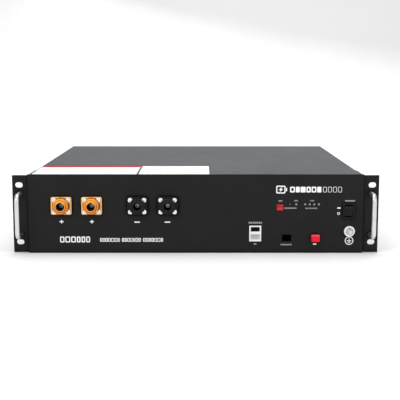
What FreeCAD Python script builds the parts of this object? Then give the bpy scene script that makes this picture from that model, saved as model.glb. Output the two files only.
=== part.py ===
"""Rack-mount lithium battery module, nominal 24 V class, 19-inch front, sheet-steel case.

Millimetres, +Z up.  Modelling frame: X = 0 on the centre line, Y = 0 on the front panel's outer
face with +Y running back into the case, Z = 0 under the case; left is -X, seen from the front.
Every solid is written with the origin moved to the centre of the four rack slots, in the plane of
the ears' rear (rail-side) faces.
"""
import FreeCAD, Part
import math
import os

Vector = FreeCAD.Vector
os.makedirs("parts", exist_ok=True)

SIDES = (-1, 1)         # left, right (or lower, upper)
RIGHT = (1, 0, 0)
BACK = (0, 1, 0)
FORWARD = (0, -1, 0)
UP = (0, 0, 1)
DOWN = (0, 0, -1)

# ------------------------------------------------------------------ case and front
RACK_W = 482.6          # over the ears
SLOT_X = 465.1          # rack slot centres, across
SLOT_Z = 76.2           # rack slot centres, up
SLOT_L, SLOT_H = 10.0, 7.0
PANEL_W = 442.0
HEIGHT = 105.0
DEPTH = 410.0           # panel face to rear wall
BODY_W = 437.0          # case over the side walls
T_PANEL = 2.0
T_CASE = 1.5
T_COVER = 1.2
T_EAR = 2.5
HALF_RACK, HALF_PANEL, HALF_BODY = RACK_W / 2, PANEL_W / 2, BODY_W / 2
EAR_BACK = T_PANEL + T_EAR          # ears' rail-side face
FRAME_BACK = T_PANEL + T_CASE       # rear face of the tray's front frame
COVER_TOP = HEIGHT - 0.5            # upper face of the cover
WALL_TOP = HEIGHT - 1.8             # top of the side walls

EAR_Z0, EAR_Z1 = 0.8, 103.6
EAR_LEG = 62.0          # rear end of the ear bracket's side leg
EAR_SCREWS = [(side, y, z) for side in SIDES for y in (24.0, 50.0) for z in (19.0, 86.0)]
HANDLE_D = 6.0
HANDLE_C = 55.0         # leg centres
HANDLE_Z = 51.8         # middle of the handles
HANDLE_PROJ = 25.0      # ear's front face to the bar's centre line
HANDLE_X = 230.8
HANDLE_BEND = 7.5
HANDLE_LEGS = (HANDLE_Z - HANDLE_C / 2, HANDLE_Z + HANDLE_C / 2)

STUDS = [(x, z) for x in (-190.0, -95.0, 20.0, 190.0) for z in (5.4, 98.0)]
COVER_SCREW_Z = 94.0
# (seat point, shank direction)
COVER_SCREWS = [((side * HALF_BODY, y, COVER_SCREW_Z), (-side, 0, 0))
                for side in SIDES for y in (96.0, 196.0, 296.0, 390.0)]
COVER_SCREWS += [((x, DEPTH, COVER_SCREW_Z), FORWARD) for x in (-180.0, 0.0, 180.0)]
# countersinks: head radius, shank radius, head height
COVER_CSK = (2.75, 1.5, 1.25)
HANDLE_CSK, HANDLE_SCREW = (3.6, 2.0, 1.7), (3.6, 1.95, 1.7)
EAR_CSK, EAR_SCREW = (3.7, 2.0, 1.8), (3.7, 1.95, 1.8)

# ------------------------------------------------------------------ fittings on the panel
SOCKET_X = (-176.8, -136.8, -76.8, -36.8)   # two positive, two negative
SOCKET_Z = 63.6
SOCKET_SCREW_DX, SOCKET_SCREW_DZ = 9.1, 7.8
RJ_X, RJ_Z, RJ_W, RJ_H = 78.8, 26.1, 15.8, 21.2
CONSOLE_X, CONSOLE_Z, CONSOLE_W, CONSOLE_H = 120.4, 20.3, 12.8, 9.3
DIP_X, DIP_Z, DIP_W, DIP_H = 111.2, 61.1, 8.4, 7.8
LED_Z = 65.3
LED_X = (124.2, 132.5, 144.2, 150.2, 156.2, 162.2)   # alarm, run, four charge level
LED_R = 1.5
BTN_X, BTN_Z, BTN_W, BTN_H = 158.2, 20.3, 11.2, 9.3
SWITCH_X, SWITCH_Z = 201.8, 56.6
GROUND_X, GROUND_Z = 203.2, 29.2

# ------------------------------------------------------------------ boards inside
BOARD_Y = 16.0          # front face of the communication board
BOARD_T = 1.6
BOARD_X0, BOARD_X1, BOARD_Z0, BOARD_Z1 = 64.0, 180.0, 8.5, 75.0
BOARD_POSTS = [(x, z) for z in (BOARD_Z0 + 4.5, BOARD_Z1 - 4) for x in (BOARD_X0 + 4, BOARD_X1 - 4)]
BMS_X0, BMS_X1, BMS_Y0, BMS_Y1 = -206.0, 30.0, 30.0, 98.0
BMS_Z = 14.0            # underside of the battery management board
BMS_TOP = BMS_Z + 2.0
BMS_POSTS = [(x, y) for y in (BMS_Y0 + 6, BMS_Y1 - 6) for x in (BMS_X0 + 6, BMS_X1 - 6)]

# ------------------------------------------------------------------ cells and their clamping
CELL_L, CELL_W, CELL_T = 196.0, 130.0, 36.0
CELL_X0 = 18.0          # inner (terminal) end of each cell from the centre line
CELL_Y = (120.0, 254.0) # front edge of the two rows
CELL_Z = (5.0, 43.0)    # underside of the two layers
TERM_DY = 32.0          # terminals either side of a cell's middle
TERM_X = CELL_X0 - 2.2  # terminal faces, from the centre line
ROW_Y = [y + CELL_W / 2 for y in CELL_Y]
LAYER_Z = [z + CELL_T / 2 for z in CELL_Z]
CELLS_TOP = CELL_Z[1] + CELL_T
HOLD_TOP = CELLS_TOP + 1.5
FOOT_Z = 5.5            # underside of the hold-down frame's feet
FOOT_TOP = FOOT_Z + 1.5
FEET = [(x, y) for x in (-136.0, 136.0) for y in (103.5, 399.0)]
SENSE_SCREWS = [(x, y) for x in (-19.0, 19.0) for y in (126.0, 386.0)]


# ------------------------------------------------------------------ helpers
def box(x0, x1, y0, y1, z0, z1):
    return Part.makeBox(x1 - x0, y1 - y0, z1 - z0, Vector(x0, y0, z0))


def side_box(side, xa, xb, y0, y1, z0, z1):
    """Box between two distances from the centre line, on the left (-1) or right (1)."""
    x0, x1 = sorted((side * xa, side * xb))
    return box(x0, x1, y0, y1, z0, z1)


def box_xz(x, z, width, height, y0, y1):
    """Box centred in X and Z."""
    return box(x - width / 2, x + width / 2, y0, y1, z - height / 2, z + height / 2)


def box_xy(x, y, width, depth, z0, z1):
    """Box centred in X and Y."""
    return box(x - width / 2, x + width / 2, y - depth / 2, y + depth / 2, z0, z1)


def cyl(radius, at, direction, length):
    return Part.makeCylinder(radius, length, Vector(*at), Vector(*direction))


def cone(radius_1, radius_2, at, direction, length):
    return Part.makeCone(radius_1, radius_2, length, Vector(*at), Vector(*direction))


def shifted(at, direction, distance):
    """Point moved a distance along a direction."""
    return tuple(p + distance * c for p, c in zip(at, direction))


def fuse(shapes):
    out = shapes[0]
    if len(shapes) > 1:
        out = out.fuse(shapes[1:])
    return out.removeSplitter()


def cut(shape, tools):
    return shape.cut(tools)


def prism(points, extrusion):
    """Closed polygon through the points, extruded."""
    corners = [Vector(*p) for p in points]
    return Part.Face(Part.makePolygon(corners + [corners[0]])).extrude(Vector(*extrusion))


def near(a, b):
    return abs(a - b) < 1e-3


def span(edge):
    """Vector from an edge's first vertex to its last."""
    return edge.Vertexes[-1].Point - edge.Vertexes[0].Point


def edges_where(shape, test):
    """Edges for which test(edge, centre of mass) holds."""
    return [edge for edge in shape.Edges if test(edge, edge.CenterOfMass)]


def fillet(shape, radius, test):
    return shape.makeFillet(radius, edges_where(shape, test))


def rounded_xz(x, z, width, height, radius, y0, y1):
    """Block whose X-Z outline is a rectangle with rounded corners."""
    return fillet(box_xz(x, z, width, height, y0, y1), radius,
                  lambda edge, mid: abs(span(edge).y) > 1e-6)


def rounded_xy(x, y, width, depth, radius, z0, z1):
    """Block whose X-Y outline is a rectangle with rounded corners."""
    return fillet(box_xy(x, y, width, depth, z0, z1), radius,
                  lambda edge, mid: abs(span(edge).z) > 1e-6)


def slot_xz(x, z, length, height, y0, y1):
    """Round-ended slot tool."""
    radius = height / 2
    centre = length / 2 - radius
    return fuse([box_xz(x, z, 2 * centre, height, y0, y1),
                 cyl(radius, (x - centre, y0, z), BACK, y1 - y0),
                 cyl(radius, (x + centre, y0, z), BACK, y1 - y0)])


def cross_axes(direction):
    """Indices of the two axes square to an axis-aligned direction."""
    return [i for i in range(3) if not direction[i]]


def hexagon(across_flats, at, direction, length):
    """Hexagonal prism from a point along an axis."""
    corner_r = across_flats / math.sqrt(3.0)
    first, second = cross_axes(direction)
    points = []
    for k in range(6):
        angle = math.radians(60 * k + 30)
        point = list(at)
        point[first] += corner_r * math.cos(angle)
        point[second] += corner_r * math.sin(angle)
        points.append(point)
    return prism(points, [c * length for c in direction])


def nut(across_flats, hole_r, at, direction, height):
    """Hexagon nut, its starting face chamfered at the corners."""
    corner_r = across_flats / math.sqrt(3.0)
    rim = cone(corner_r - 0.6, corner_r + 0.2, at, direction, 0.8).fuse(
        cyl(corner_r + 0.2, shifted(at, direction, 0.8), direction, height))
    body = hexagon(across_flats, at, direction, height).common(rim)
    return body.cut(cyl(hole_r, shifted(at, direction, -1), direction, height + 2))


def cross_recess(size, width, depth, at, direction):
    """Tool for a cross recess at a point of a head; the direction points into the head."""
    across = cross_axes(direction)
    axis = 3 - sum(across)
    bars = []
    for sizes in ((size, width), (width, size)):
        limits = [None] * 3
        limits[axis] = sorted((at[axis] - 0.1 * direction[axis],
                               at[axis] + depth * direction[axis]))
        for i, full in zip(across, sizes):
            limits[i] = (at[i] - full / 2, at[i] + full / 2)
        bars.append(box(*limits[0], *limits[1], *limits[2]))
    return bars[0].fuse(bars[1])


def csk_screw(head_r, shank_r, head_h, length, at, direction):
    """Countersunk screw whose flat face is at the point; the shank runs along the direction."""
    screw = fuse([cone(head_r, shank_r, at, direction, head_h),
                  cyl(shank_r, at, direction, length)])
    return screw.cut(cross_recess(head_r * 1.15, head_r * 0.28, head_h * 0.55, at, direction))


def csk_hole(head_r, shank_r, head_h, through, at, direction):
    """Tool that leaves room for csk_screw."""
    gap = 0.08
    start = shifted(at, direction, -0.5)
    return fuse([cyl(head_r + gap, start, direction, 0.5 + gap),
                 cone(head_r + gap, shank_r + gap, shifted(at, direction, gap), direction, head_h),
                 cyl(shank_r + gap, start, direction, through + 0.5)])


def pan_screw(head_r, head_h, shank_r, length, at, direction):
    """Pan-head screw seated at the point, its shank along the direction."""
    top = shifted(at, direction, -head_h)
    head = fillet(cyl(head_r, top, direction, head_h), head_h * 0.42,
                  lambda edge, mid: (mid - Vector(*top)).Length < 1e-3)
    shank = cyl(shank_r, shifted(at, direction, -0.2), direction, length + 0.2)
    recess = cross_recess(head_r * 1.15, head_r * 0.30, head_h * 0.55, top, direction)
    return fuse([head, shank]).cut(recess)


def hex_bolt(across_flats, head_h, radius, length, at, direction):
    """Hexagon bolt seated at a point, its shank along the direction."""
    return fuse([hexagon(across_flats, at, [-c for c in direction], head_h),
                 cyl(radius, shifted(at, direction, -0.1), direction, length + 0.1)])


def bent_bar(points, radius, bend):
    """Round bar along a polyline with rounded corners."""
    points = [Vector(*p) for p in points]
    edges, last = [], points[0]
    for before, corner, after in zip(points, points[1:], points[2:]):
        to_before = (before - corner).normalize()
        to_after = (after - corner).normalize()
        half = to_before.getAngle(to_after) / 2
        tangent = bend / math.tan(half)
        start = corner + to_before * tangent
        end = corner + to_after * tangent
        inward = (to_before + to_after).normalize()
        middle = corner + inward * (bend / math.sin(half) - bend)
        edges.append(Part.makeLine(last, start))
        edges.append(Part.Arc(start, middle, end).toShape())
        last = end
    edges.append(Part.makeLine(last, points[-1]))
    heading = (points[1] - points[0]).normalize()
    profile = Part.Wire([Part.makeCircle(radius, points[0], heading)])
    return Part.Wire(edges).makePipeShell([profile], True, False)


def export(name, shapes):
    """Moves the solids to the rack-slot frame and writes them as one STEP file."""
    if not isinstance(shapes, list):
        shapes = [shapes]
    moved = []
    for shape in shapes:
        for solid in shape.Solids:
            solid = solid.copy()
            solid.translate(Vector(0, -EAR_BACK, -HEIGHT / 2))
            if not solid.isValid() or solid.Volume <= 0:
                raise RuntimeError("node %s has a bad solid" % name)
            moved.append(solid)
    out = moved[0] if len(moved) == 1 else Part.makeCompound(moved)
    out.exportStep("parts/%s.step" % name)


# ------------------------------------------------------------------ case
WINDOW_W, WINDOW_Z0, WINDOW_Z1 = 426.0, 10.0, 95.0
COVER_LIP_Z = 85.0      # lower edge of the cover's turned-down flanges


def chassis_tray():
    tray = box(-HALF_BODY, HALF_BODY, T_PANEL, DEPTH, 0, WALL_TOP)
    inner = HALF_BODY - T_CASE
    tray = cut(tray, [box(-inner, inner, FRAME_BACK, DEPTH - T_CASE, T_CASE, WALL_TOP + 1)])
    # outer bends along the floor's sides and rear, and up the rear corners
    tray = fillet(tray, 1.8, lambda edge, mid:
                  near(abs(mid.x), HALF_BODY) and near(mid.z, 0)
                  or near(mid.y, DEPTH) and near(mid.z, 0)
                  or near(abs(mid.x), HALF_BODY) and near(mid.y, DEPTH))
    # window of the front frame, behind the panel
    tray = cut(tray, [rounded_xz(0, (WINDOW_Z0 + WINDOW_Z1) / 2, WINDOW_W, WINDOW_Z1 - WINDOW_Z0,
                                 3.0, 0, FRAME_BACK + 1)])
    # turned-in top bar over the frame, carries the cover's front edge
    tray = fuse([tray, box(-inner, inner, FRAME_BACK, 14.0, WALL_TOP - T_CASE, WALL_TOP)])
    # shallow troughs in the floor's underside, below the cells
    tray = cut(tray, [rounded_xy(x, y, 150.0, 12.0, 5.9, -0.5, 0.5)
                      for x in (-110.0, 110.0) for y in (160.0, 235.0, 310.0, 375.0)])
    # board posts on the floor
    base = T_CASE - 0.2
    tray = fuse([tray] + [cyl(3.5, (x, y, base), UP, BMS_Z - base) for x, y in BMS_POSTS])
    tray = cut(tray, [cyl(1.55, (x, y, BMS_Z - 8), UP, 10) for x, y in BMS_POSTS])
    # clinched nuts under the hold-down frame's feet
    tray = fuse([tray] + [cyl(4.5, (x, y, base), UP, FOOT_Z - base) for x, y in FEET])
    tray = cut(tray, [cyl(1.6, (x, y, T_CASE), UP, 6) for x, y in FEET])
    # holes for the panel studs, ear screws and cover screws
    tray = cut(tray, [cyl(1.7, (x, 0, z), BACK, 8) for x, z in STUDS])
    tray = cut(tray, [cyl(2.1, (side * (HALF_BODY - 5), y, z), (side, 0, 0), 10)
                      for side, y, z in EAR_SCREWS])
    return cut(tray, [csk_hole(*COVER_CSK, 6, at, direction) for at, direction in COVER_SCREWS])


def top_cover():
    under = COVER_TOP - T_COVER
    cover = box(-HALF_BODY, HALF_BODY, T_PANEL + 0.1, DEPTH, under, COVER_TOP)
    cover = fillet(cover, 0.9, lambda edge, mid: near(mid.z, COVER_TOP) and mid.y > T_PANEL + 1)
    # turned-down flanges inside the side and rear walls
    outer = HALF_BODY - T_CASE - 0.1
    rear = DEPTH - T_CASE - 0.1
    flanges = [side_box(side, outer, outer - T_COVER, 70.0, 400.0, COVER_LIP_Z, under + 0.2)
               for side in SIDES]
    flanges.append(box(-204.0, 204.0, rear - T_COVER, rear, COVER_LIP_Z, under + 0.2))
    return cut(fuse([cover] + flanges), [cyl(1.55, shifted(at, direction, -2), direction, 8)
                                         for at, direction in COVER_SCREWS])


def cover_screws():
    return [csk_screw(*COVER_CSK, 5.0, at, direction) for at, direction in COVER_SCREWS]


def top_label(x, width):
    return rounded_xy(x, 50.6, width, 91.0, 1.5, COVER_TOP, COVER_TOP + 0.25)


# ------------------------------------------------------------------ front panel
def socket_screw_points(x):
    """X and Z of the four screws of the socket centred at x."""
    return [(x + sx * SOCKET_SCREW_DX, SOCKET_Z + sz * SOCKET_SCREW_DZ)
            for sx in SIDES for sz in SIDES]


def front_panel():
    panel = box(-HALF_PANEL, HALF_PANEL, 0, T_PANEL, 0, HEIGHT)
    panel = fillet(panel, 0.5, lambda edge, mid: near(mid.y, 0))
    tools = []
    for x in SOCKET_X:
        tools.append(cyl(8.8, (x, -1, SOCKET_Z), BACK, 5))
        tools += [cyl(1.5, (sx, -1, sz), BACK, 5) for sx, sz in socket_screw_points(x)]
    # rectangular openings: x, z, width, height, corner radius
    for opening in ((RJ_X, RJ_Z, RJ_W + 0.3, RJ_H + 0.3, 0.4),
                    (CONSOLE_X, CONSOLE_Z, CONSOLE_W, CONSOLE_H, 0.4),
                    (DIP_X, DIP_Z, DIP_W + 0.2, DIP_H + 0.2, 0.4),
                    (BTN_X, BTN_Z, BTN_W + 0.6, BTN_H + 0.6, 1.3),
                    (SWITCH_X, SWITCH_Z, 13.0, 19.2, 0.08)):
        tools.append(rounded_xz(*opening, -1, 5))
    tools += [cyl(LED_R + 0.08, (x, -1, LED_Z), BACK, 5) for x in LED_X]
    tools.append(cyl(3.1, (GROUND_X, -1, GROUND_Z), BACK, 5))
    panel = cut(panel, tools)
    # welded studs that hold the panel on the tray's frame, and posts for the communication board
    base = T_PANEL - 0.2
    panel = fuse([panel] + [cyl(1.5, (x, base, z), BACK, 9.2) for x, z in STUDS]
                 + [cyl(2.75, (x, base, z), BACK, BOARD_Y - base) for x, z in BOARD_POSTS])
    return cut(panel, [cyl(1.25, (x, BOARD_Y - 8, z), BACK, 10) for x, z in BOARD_POSTS])


# ------------------------------------------------------------------ ears and handles
def ear_bracket(side):
    ear = fuse([side_box(side, HALF_BODY, HALF_RACK, T_PANEL, EAR_BACK, EAR_Z0, EAR_Z1),
                side_box(side, HALF_BODY, HALF_PANEL, T_PANEL, EAR_LEG, EAR_Z0, EAR_Z1)])
    # inside corner between flange and leg
    ear = fillet(ear, 2.0, lambda edge, mid: near(abs(mid.x), HALF_PANEL)
                 and near(mid.y, EAR_BACK) and abs(span(edge).z) > 50)
    # outer corners of the flange
    ear = fillet(ear, 0.8, lambda edge, mid: near(abs(mid.x), HALF_RACK)
                 and near(abs(span(edge).y), T_EAR))
    # rear corners of the leg
    ear = fillet(ear, 6.0, lambda edge, mid: near(mid.y, EAR_LEG)
                 and near(abs(span(edge).x), HALF_PANEL - HALF_BODY))
    tools = [slot_xz(side * SLOT_X / 2, HEIGHT / 2 + end * SLOT_Z / 2, SLOT_L, SLOT_H, 0, 8)
             for end in SIDES]
    tools += [csk_hole(*HANDLE_CSK, 6, (side * HANDLE_X, EAR_BACK, z), FORWARD)
              for z in HANDLE_LEGS]
    tools += [csk_hole(*EAR_CSK, 6, (side * HALF_PANEL, y, z), (-side, 0, 0))
              for screw_side, y, z in EAR_SCREWS if screw_side == side]
    return cut(ear, tools)


def handle(side):
    x = side * HANDLE_X
    y = T_PANEL - HANDLE_PROJ
    z0, z1 = HANDLE_LEGS
    bar = bent_bar([(x, T_PANEL, z0), (x, y, z0), (x, y, z1), (x, T_PANEL, z1)],
                   HANDLE_D / 2, HANDLE_BEND)
    return cut(bar, [cyl(2.0, (x, T_PANEL + 1, z), FORWARD, 11) for z in HANDLE_LEGS])


def ear_and_handle_screws():
    screws = [csk_screw(*HANDLE_SCREW, 11.0, (side * HANDLE_X, EAR_BACK - 0.05, z), FORWARD)
              for side in SIDES for z in HANDLE_LEGS]
    return screws + [csk_screw(*EAR_SCREW, 8.0, (side * HALF_PANEL, y, z), (-side, 0, 0))
                     for side, y, z in EAR_SCREWS]


# ------------------------------------------------------------------ power sockets
FLANGE_W, FLANGE_H, FLANGE_T = 27.0, 23.4, 3.0
GASKET_T = 0.8
FLANGE_Y = -GASKET_T - FLANGE_T     # flange's front face
NECK_R = 8.6
COLLAR_R = 10.4         # across the locking collar's flats, halved
COLLAR_L = 4.0
NOSE_R = 8.4
NOSE_PROJ = 13.4        # panel face to the nose's rim
SOCKET_REAR = 14.0      # rear end of the socket body
SOCKET_BORE_R, SOCKET_BORE_L = 5.3, 7.0
SOCKET_INNER_R = 5.0
SHOULDER_T = 1.0        # shoulder of the contact, behind the body
TAIL_END = 26.0


def power_socket(x):
    def on_axis(y):
        return (x, y, SOCKET_Z)

    flange = rounded_xz(x, SOCKET_Z, FLANGE_W, FLANGE_H, 2.2, FLANGE_Y, -GASKET_T)
    flange = flange.makeChamfer(0.5, edges_where(flange, lambda edge, mid: near(mid.y, FLANGE_Y)))
    neck = cyl(NECK_R, on_axis(FLANGE_Y + 0.3), FORWARD, 4.4)
    # octagonal locking collar, overhanging the screw heads, its front corners bevelled
    back = FLANGE_Y - 3.4
    corner_r = COLLAR_R / math.cos(math.radians(22.5))
    angles = [math.radians(45 * k + 22.5) for k in range(8)]
    collar = prism([(x + corner_r * math.cos(a), back, SOCKET_Z + corner_r * math.sin(a))
                    for a in angles], (0, -COLLAR_L, 0))
    collar = collar.common(
        cone(corner_r - 1.5, corner_r + 0.5, on_axis(back - COLLAR_L), BACK, 2.0).fuse(
            cyl(corner_r + 0.5, on_axis(back - 2.0), BACK, 3.0)))
    # turned nose, tapering in two steps to the rim
    rim = -NOSE_PROJ
    straight = back - 2.5
    nose = fuse([cyl(NOSE_R, on_axis(straight), BACK, 2.5),
                 cone(NOSE_R - 0.7, NOSE_R, on_axis(rim + 0.9), BACK, straight - rim - 0.9),
                 cone(NOSE_R - 1.9, NOSE_R - 0.7, on_axis(rim), BACK, 0.9)])
    rear = cyl(8.6, on_axis(-GASKET_T - 0.2), BACK, SOCKET_REAR + GASKET_T + 0.2)
    body = fuse([flange, neck, collar, nose, rear])
    # stepped bore, contact's hole, key notch over the mouth
    tools = [cyl(SOCKET_BORE_R, on_axis(rim - 1), BACK, 1 + SOCKET_BORE_L),
             cone(SOCKET_BORE_R + 0.5, SOCKET_BORE_R, on_axis(rim), BACK, 0.5),
             cyl(SOCKET_INNER_R, on_axis(rim), BACK, NOSE_PROJ + 7.0),
             cyl(3.05, on_axis(0), BACK, 20),
             box(x - 1.2, x + 1.2, rim - 1, rim + 2.6,
                 SOCKET_Z + SOCKET_BORE_R - 1, SOCKET_Z + SOCKET_BORE_R + 0.8)]
    for sx, sz in socket_screw_points(x):
        tools.append(cyl(1.6, (sx, FLANGE_Y - 1, sz), BACK, 12))
        tools.append(cyl(3.25, (sx, FLANGE_Y - 2.6, sz), BACK, 2.9))
    return cut(body, tools)


def power_socket_contact(x):
    """Pin with a hollow tip, a shoulder and a tail."""
    tip = -1.0
    shoulder_back = SOCKET_REAR + SHOULDER_T
    pin = fuse([cyl(3.0, (x, tip, SOCKET_Z), BACK, SOCKET_REAR - tip),
                cyl(6.0, (x, SOCKET_REAR, SOCKET_Z), BACK, SHOULDER_T),
                cyl(3.0, (x, shoulder_back, SOCKET_Z), BACK, TAIL_END - shoulder_back)])
    pin = fillet(pin, 0.6, lambda edge, mid: near(mid.y, tip))
    pin = pin.makeChamfer(0.5, edges_where(pin, lambda edge, mid: near(mid.y, TAIL_END)))
    return cut(pin, [cyl(1.9, (x, -4, SOCKET_Z), BACK, 9.0)])


def power_socket_gasket(x):
    gasket = rounded_xz(x, SOCKET_Z, FLANGE_W - 0.6, FLANGE_H - 0.6, 2.0, -GASKET_T, 0)
    return cut(gasket, [cyl(8.7, (x, -5, SOCKET_Z), BACK, 10)]
               + [cyl(1.6, (sx, -5, sz), BACK, 10) for sx, sz in socket_screw_points(x)])


def power_socket_screws():
    return [pan_screw(3.15, 2.0, 1.45, 8.0, (sx, FLANGE_Y + 0.3, sz), BACK)
            for x in SOCKET_X for sx, sz in socket_screw_points(x)]


# ------------------------------------------------------------------ output bars
BAR_T = 3.0
BAR_Y = SOCKET_REAR + SHOULDER_T + 0.05     # front face of the bars, behind the shoulders
SHELF_Z = SOCKET_Z + 8.0                    # top of the bars' shelves
CABLE_TAB_X = (-158.0, -58.0)               # positive, negative shelf
CABLE_TAB_Y = 43.0                          # bolt hole in the shelves


def output_busbar(xa, xb, tab_x):
    """Copper bar across a pair of contacts with a shelf turned back for the cable."""
    bar = rounded_xz((xa + xb) / 2, SOCKET_Z, xb - xa + 18, 16, 3.0, BAR_Y, BAR_Y + BAR_T)
    shelf = box(tab_x - 7, tab_x + 7, BAR_Y, 52.0, SHELF_Z - BAR_T, SHELF_Z)
    return cut(fuse([bar, shelf]), [cyl(3.1, (x, 10, SOCKET_Z), BACK, 12) for x in (xa, xb)]
               + [cyl(3.05, (tab_x, CABLE_TAB_Y, SOCKET_Z), UP, 20)])


def output_busbars():
    return [output_busbar(*SOCKET_X[:2], CABLE_TAB_X[0]),
            output_busbar(*SOCKET_X[2:], CABLE_TAB_X[1])]


def inner_nuts():
    """Nuts on the socket contacts, panel studs, ear screws and ground bolt."""
    nuts = [nut(10.0, 3.02, (x, BAR_Y + BAR_T + 0.05, SOCKET_Z), BACK, 5.0) for x in SOCKET_X]
    nuts += [nut(5.5, 1.52, (x, FRAME_BACK, z), BACK, 2.4) for x, z in STUDS]
    nuts += [nut(7.0, 1.98, (side * (HALF_BODY - T_CASE), y, z), (-side, 0, 0), 3.2)
             for side, y, z in EAR_SCREWS]
    nuts.append(nut(10.0, 3.02, (GROUND_X, T_PANEL, GROUND_Z), BACK, 5.0))
    return nuts


# ------------------------------------------------------------------ paired network jack
RJ_X0, RJ_X1 = RJ_X - RJ_W / 2, RJ_X + RJ_W / 2
RJ_Z0, RJ_Z1 = RJ_Z - RJ_H / 2, RJ_Z + RJ_H / 2
SHIELD_Y, SHIELD_T = 0.15, 0.4
PORT_W = 11.9
PORT_END = 12.5         # inner end of the ports
UPPER_PORT = (RJ_Z1 - 7.9, RJ_Z1 - 1.8)     # floor, roof
LOWER_PORT = (RJ_Z0 + 2.8, RJ_Z0 + 9.6)
TONGUE_DX = (-4.6, 4.6)
CONTACT_PITCH = 1.02
CONSOLE_PORT = (CONSOLE_Z - 3.4, CONSOLE_Z + 3.4)


def contact_xs(centre, count):
    return [centre + (k - (count - 1) / 2) * CONTACT_PITCH for k in range(count)]


def contact_groove(x, y0, z0, z1):
    return box(x - 0.22, x + 0.22, y0, PORT_END, z0, z1)


def rj45_shield():
    shield = rounded_xz(RJ_X, RJ_Z, RJ_W, RJ_H, 0.35, SHIELD_Y, BOARD_Y)
    shield = cut(shield, [box(RJ_X0 + SHIELD_T, RJ_X1 - SHIELD_T, SHIELD_Y + SHIELD_T,
                              BOARD_Y + 1, RJ_Z0 + SHIELD_T, RJ_Z1 - SHIELD_T)]
                 + [box(RJ_X - PORT_W / 2, RJ_X + PORT_W / 2, -1, 1, *port)
                    for port in (UPPER_PORT, LOWER_PORT)])
    # folded earthing tongues in the floor of the upper port's mouth
    floor = UPPER_PORT[0]
    tongues = []
    for dx in TONGUE_DX:
        x = RJ_X + dx - 0.6
        tongues.append(prism([(x, SHIELD_Y, floor - 0.3), (x, SHIELD_Y, floor),
                              (x, 9.0, floor + 0.7), (x, 9.2, floor + 0.4)], (1.2, 0, 0)))
    return fuse([shield] + tongues)


def rj45_insert():
    inset = SHIELD_T + 0.05
    insert = box(RJ_X0 + inset, RJ_X1 - inset, SHIELD_Y + inset, BOARD_Y,
                 RJ_Z0 + inset, RJ_Z1 - inset)
    # ports, their latch channels (roof of the upper, floor of the lower), tongue reliefs
    upper_floor, upper_roof = UPPER_PORT
    lower_floor, lower_roof = LOWER_PORT
    insert = cut(insert, [
        box(RJ_X - PORT_W / 2, RJ_X + PORT_W / 2, -1, PORT_END, upper_floor, upper_roof),
        box(RJ_X - 3.1, RJ_X + 3.1, -1, 11.0, upper_roof - 0.5, upper_roof + 0.7),
        box(RJ_X - PORT_W / 2, RJ_X + PORT_W / 2, -1, PORT_END, lower_floor, lower_roof),
        box(RJ_X - 5.2, RJ_X + 5.2, -1, 10.2, lower_floor - 0.7, lower_floor + 0.5)]
        + [box(RJ_X + dx - 0.7, RJ_X + dx + 0.7, -1, 5.0, upper_floor - 0.5, upper_floor + 0.1)
           for dx in TONGUE_DX])
    grooves = []
    for x in contact_xs(RJ_X, 8):
        grooves.append(contact_groove(x, 2.0, upper_floor - 0.8, upper_floor + 0.1))
        grooves.append(contact_groove(x, 2.0, lower_roof - 0.1, lower_roof + 0.5))
    return cut(insert, grooves)


def data_port_dust_plug():
    """Plug in the lower port: face plate with a finger ridge, and two legs along the cheeks."""
    half = PORT_W / 2 - 0.12
    z0, z1 = LOWER_PORT[0] + 0.12, LOWER_PORT[1] - 0.12
    front = -0.35
    plate = box(RJ_X - half, RJ_X + half, front, 1.6, z0, z1)
    plate = fillet(plate, 0.35, lambda edge, mid: near(mid.y, front))
    ridge = box(RJ_X - 3.4, RJ_X + 3.4, -1.3, 0.0, z1 - 2.3, z1 - 1.3)
    legs = []
    for side in SIDES:
        x0, x1 = sorted((side * 4.9, side * half))
        legs.append(box(RJ_X + x0, RJ_X + x1, 1.4, 8.6, z0 + 0.6, z0 + 3.4))
    return fuse([plate, ridge] + legs)


# ------------------------------------------------------------------ console jack, jack contacts
def console_jack():
    jack = fuse([box_xz(CONSOLE_X, CONSOLE_Z + 0.6, 15.0, 13.0, T_PANEL + 0.1, BOARD_Y),
                 box_xz(CONSOLE_X, CONSOLE_Z, CONSOLE_W - 0.3, CONSOLE_H - 0.3,
                        0.4, T_PANEL + 0.2)])
    floor, roof = CONSOLE_PORT
    jack = cut(jack, [box(CONSOLE_X - 5.0, CONSOLE_X + 5.0, -1, PORT_END, floor, roof),
                      box(CONSOLE_X - 2.0, CONSOLE_X + 2.0, -1, 11.0, floor - 0.9, floor + 0.2)])
    return cut(jack, [contact_groove(x, 2.5, roof - 0.1, roof + 0.8)
                      for x in contact_xs(CONSOLE_X, 6)])


def jack_contact(x, face, side, sunk, front, reach):
    """Strip sunk behind a port's floor (side 1) or roof (side -1), with a spring leaning in."""
    x0 = x - 0.17
    outer = face - side * sunk
    inner = outer + side * 0.3
    return prism([(x0, front, outer), (x0, front, inner),
                  (x0, 9.5, face + side * reach), (x0, 9.8, face + side * (reach - 0.3)),
                  (x0, front + 1.5, inner), (x0, 12.4, inner), (x0, 12.4, outer)], (0.34, 0, 0))


def jack_contacts():
    contacts = []
    for x in contact_xs(RJ_X, 8):
        contacts.append(jack_contact(x, UPPER_PORT[0], 1, sunk=0.75, front=2.1, reach=2.6))
        contacts.append(jack_contact(x, LOWER_PORT[1], -1, sunk=0.45, front=2.1, reach=2.6))
    for x in contact_xs(CONSOLE_X, 6):
        contacts.append(jack_contact(x, CONSOLE_PORT[1], -1, sunk=0.7, front=2.6, reach=2.2))
    return contacts


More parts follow.
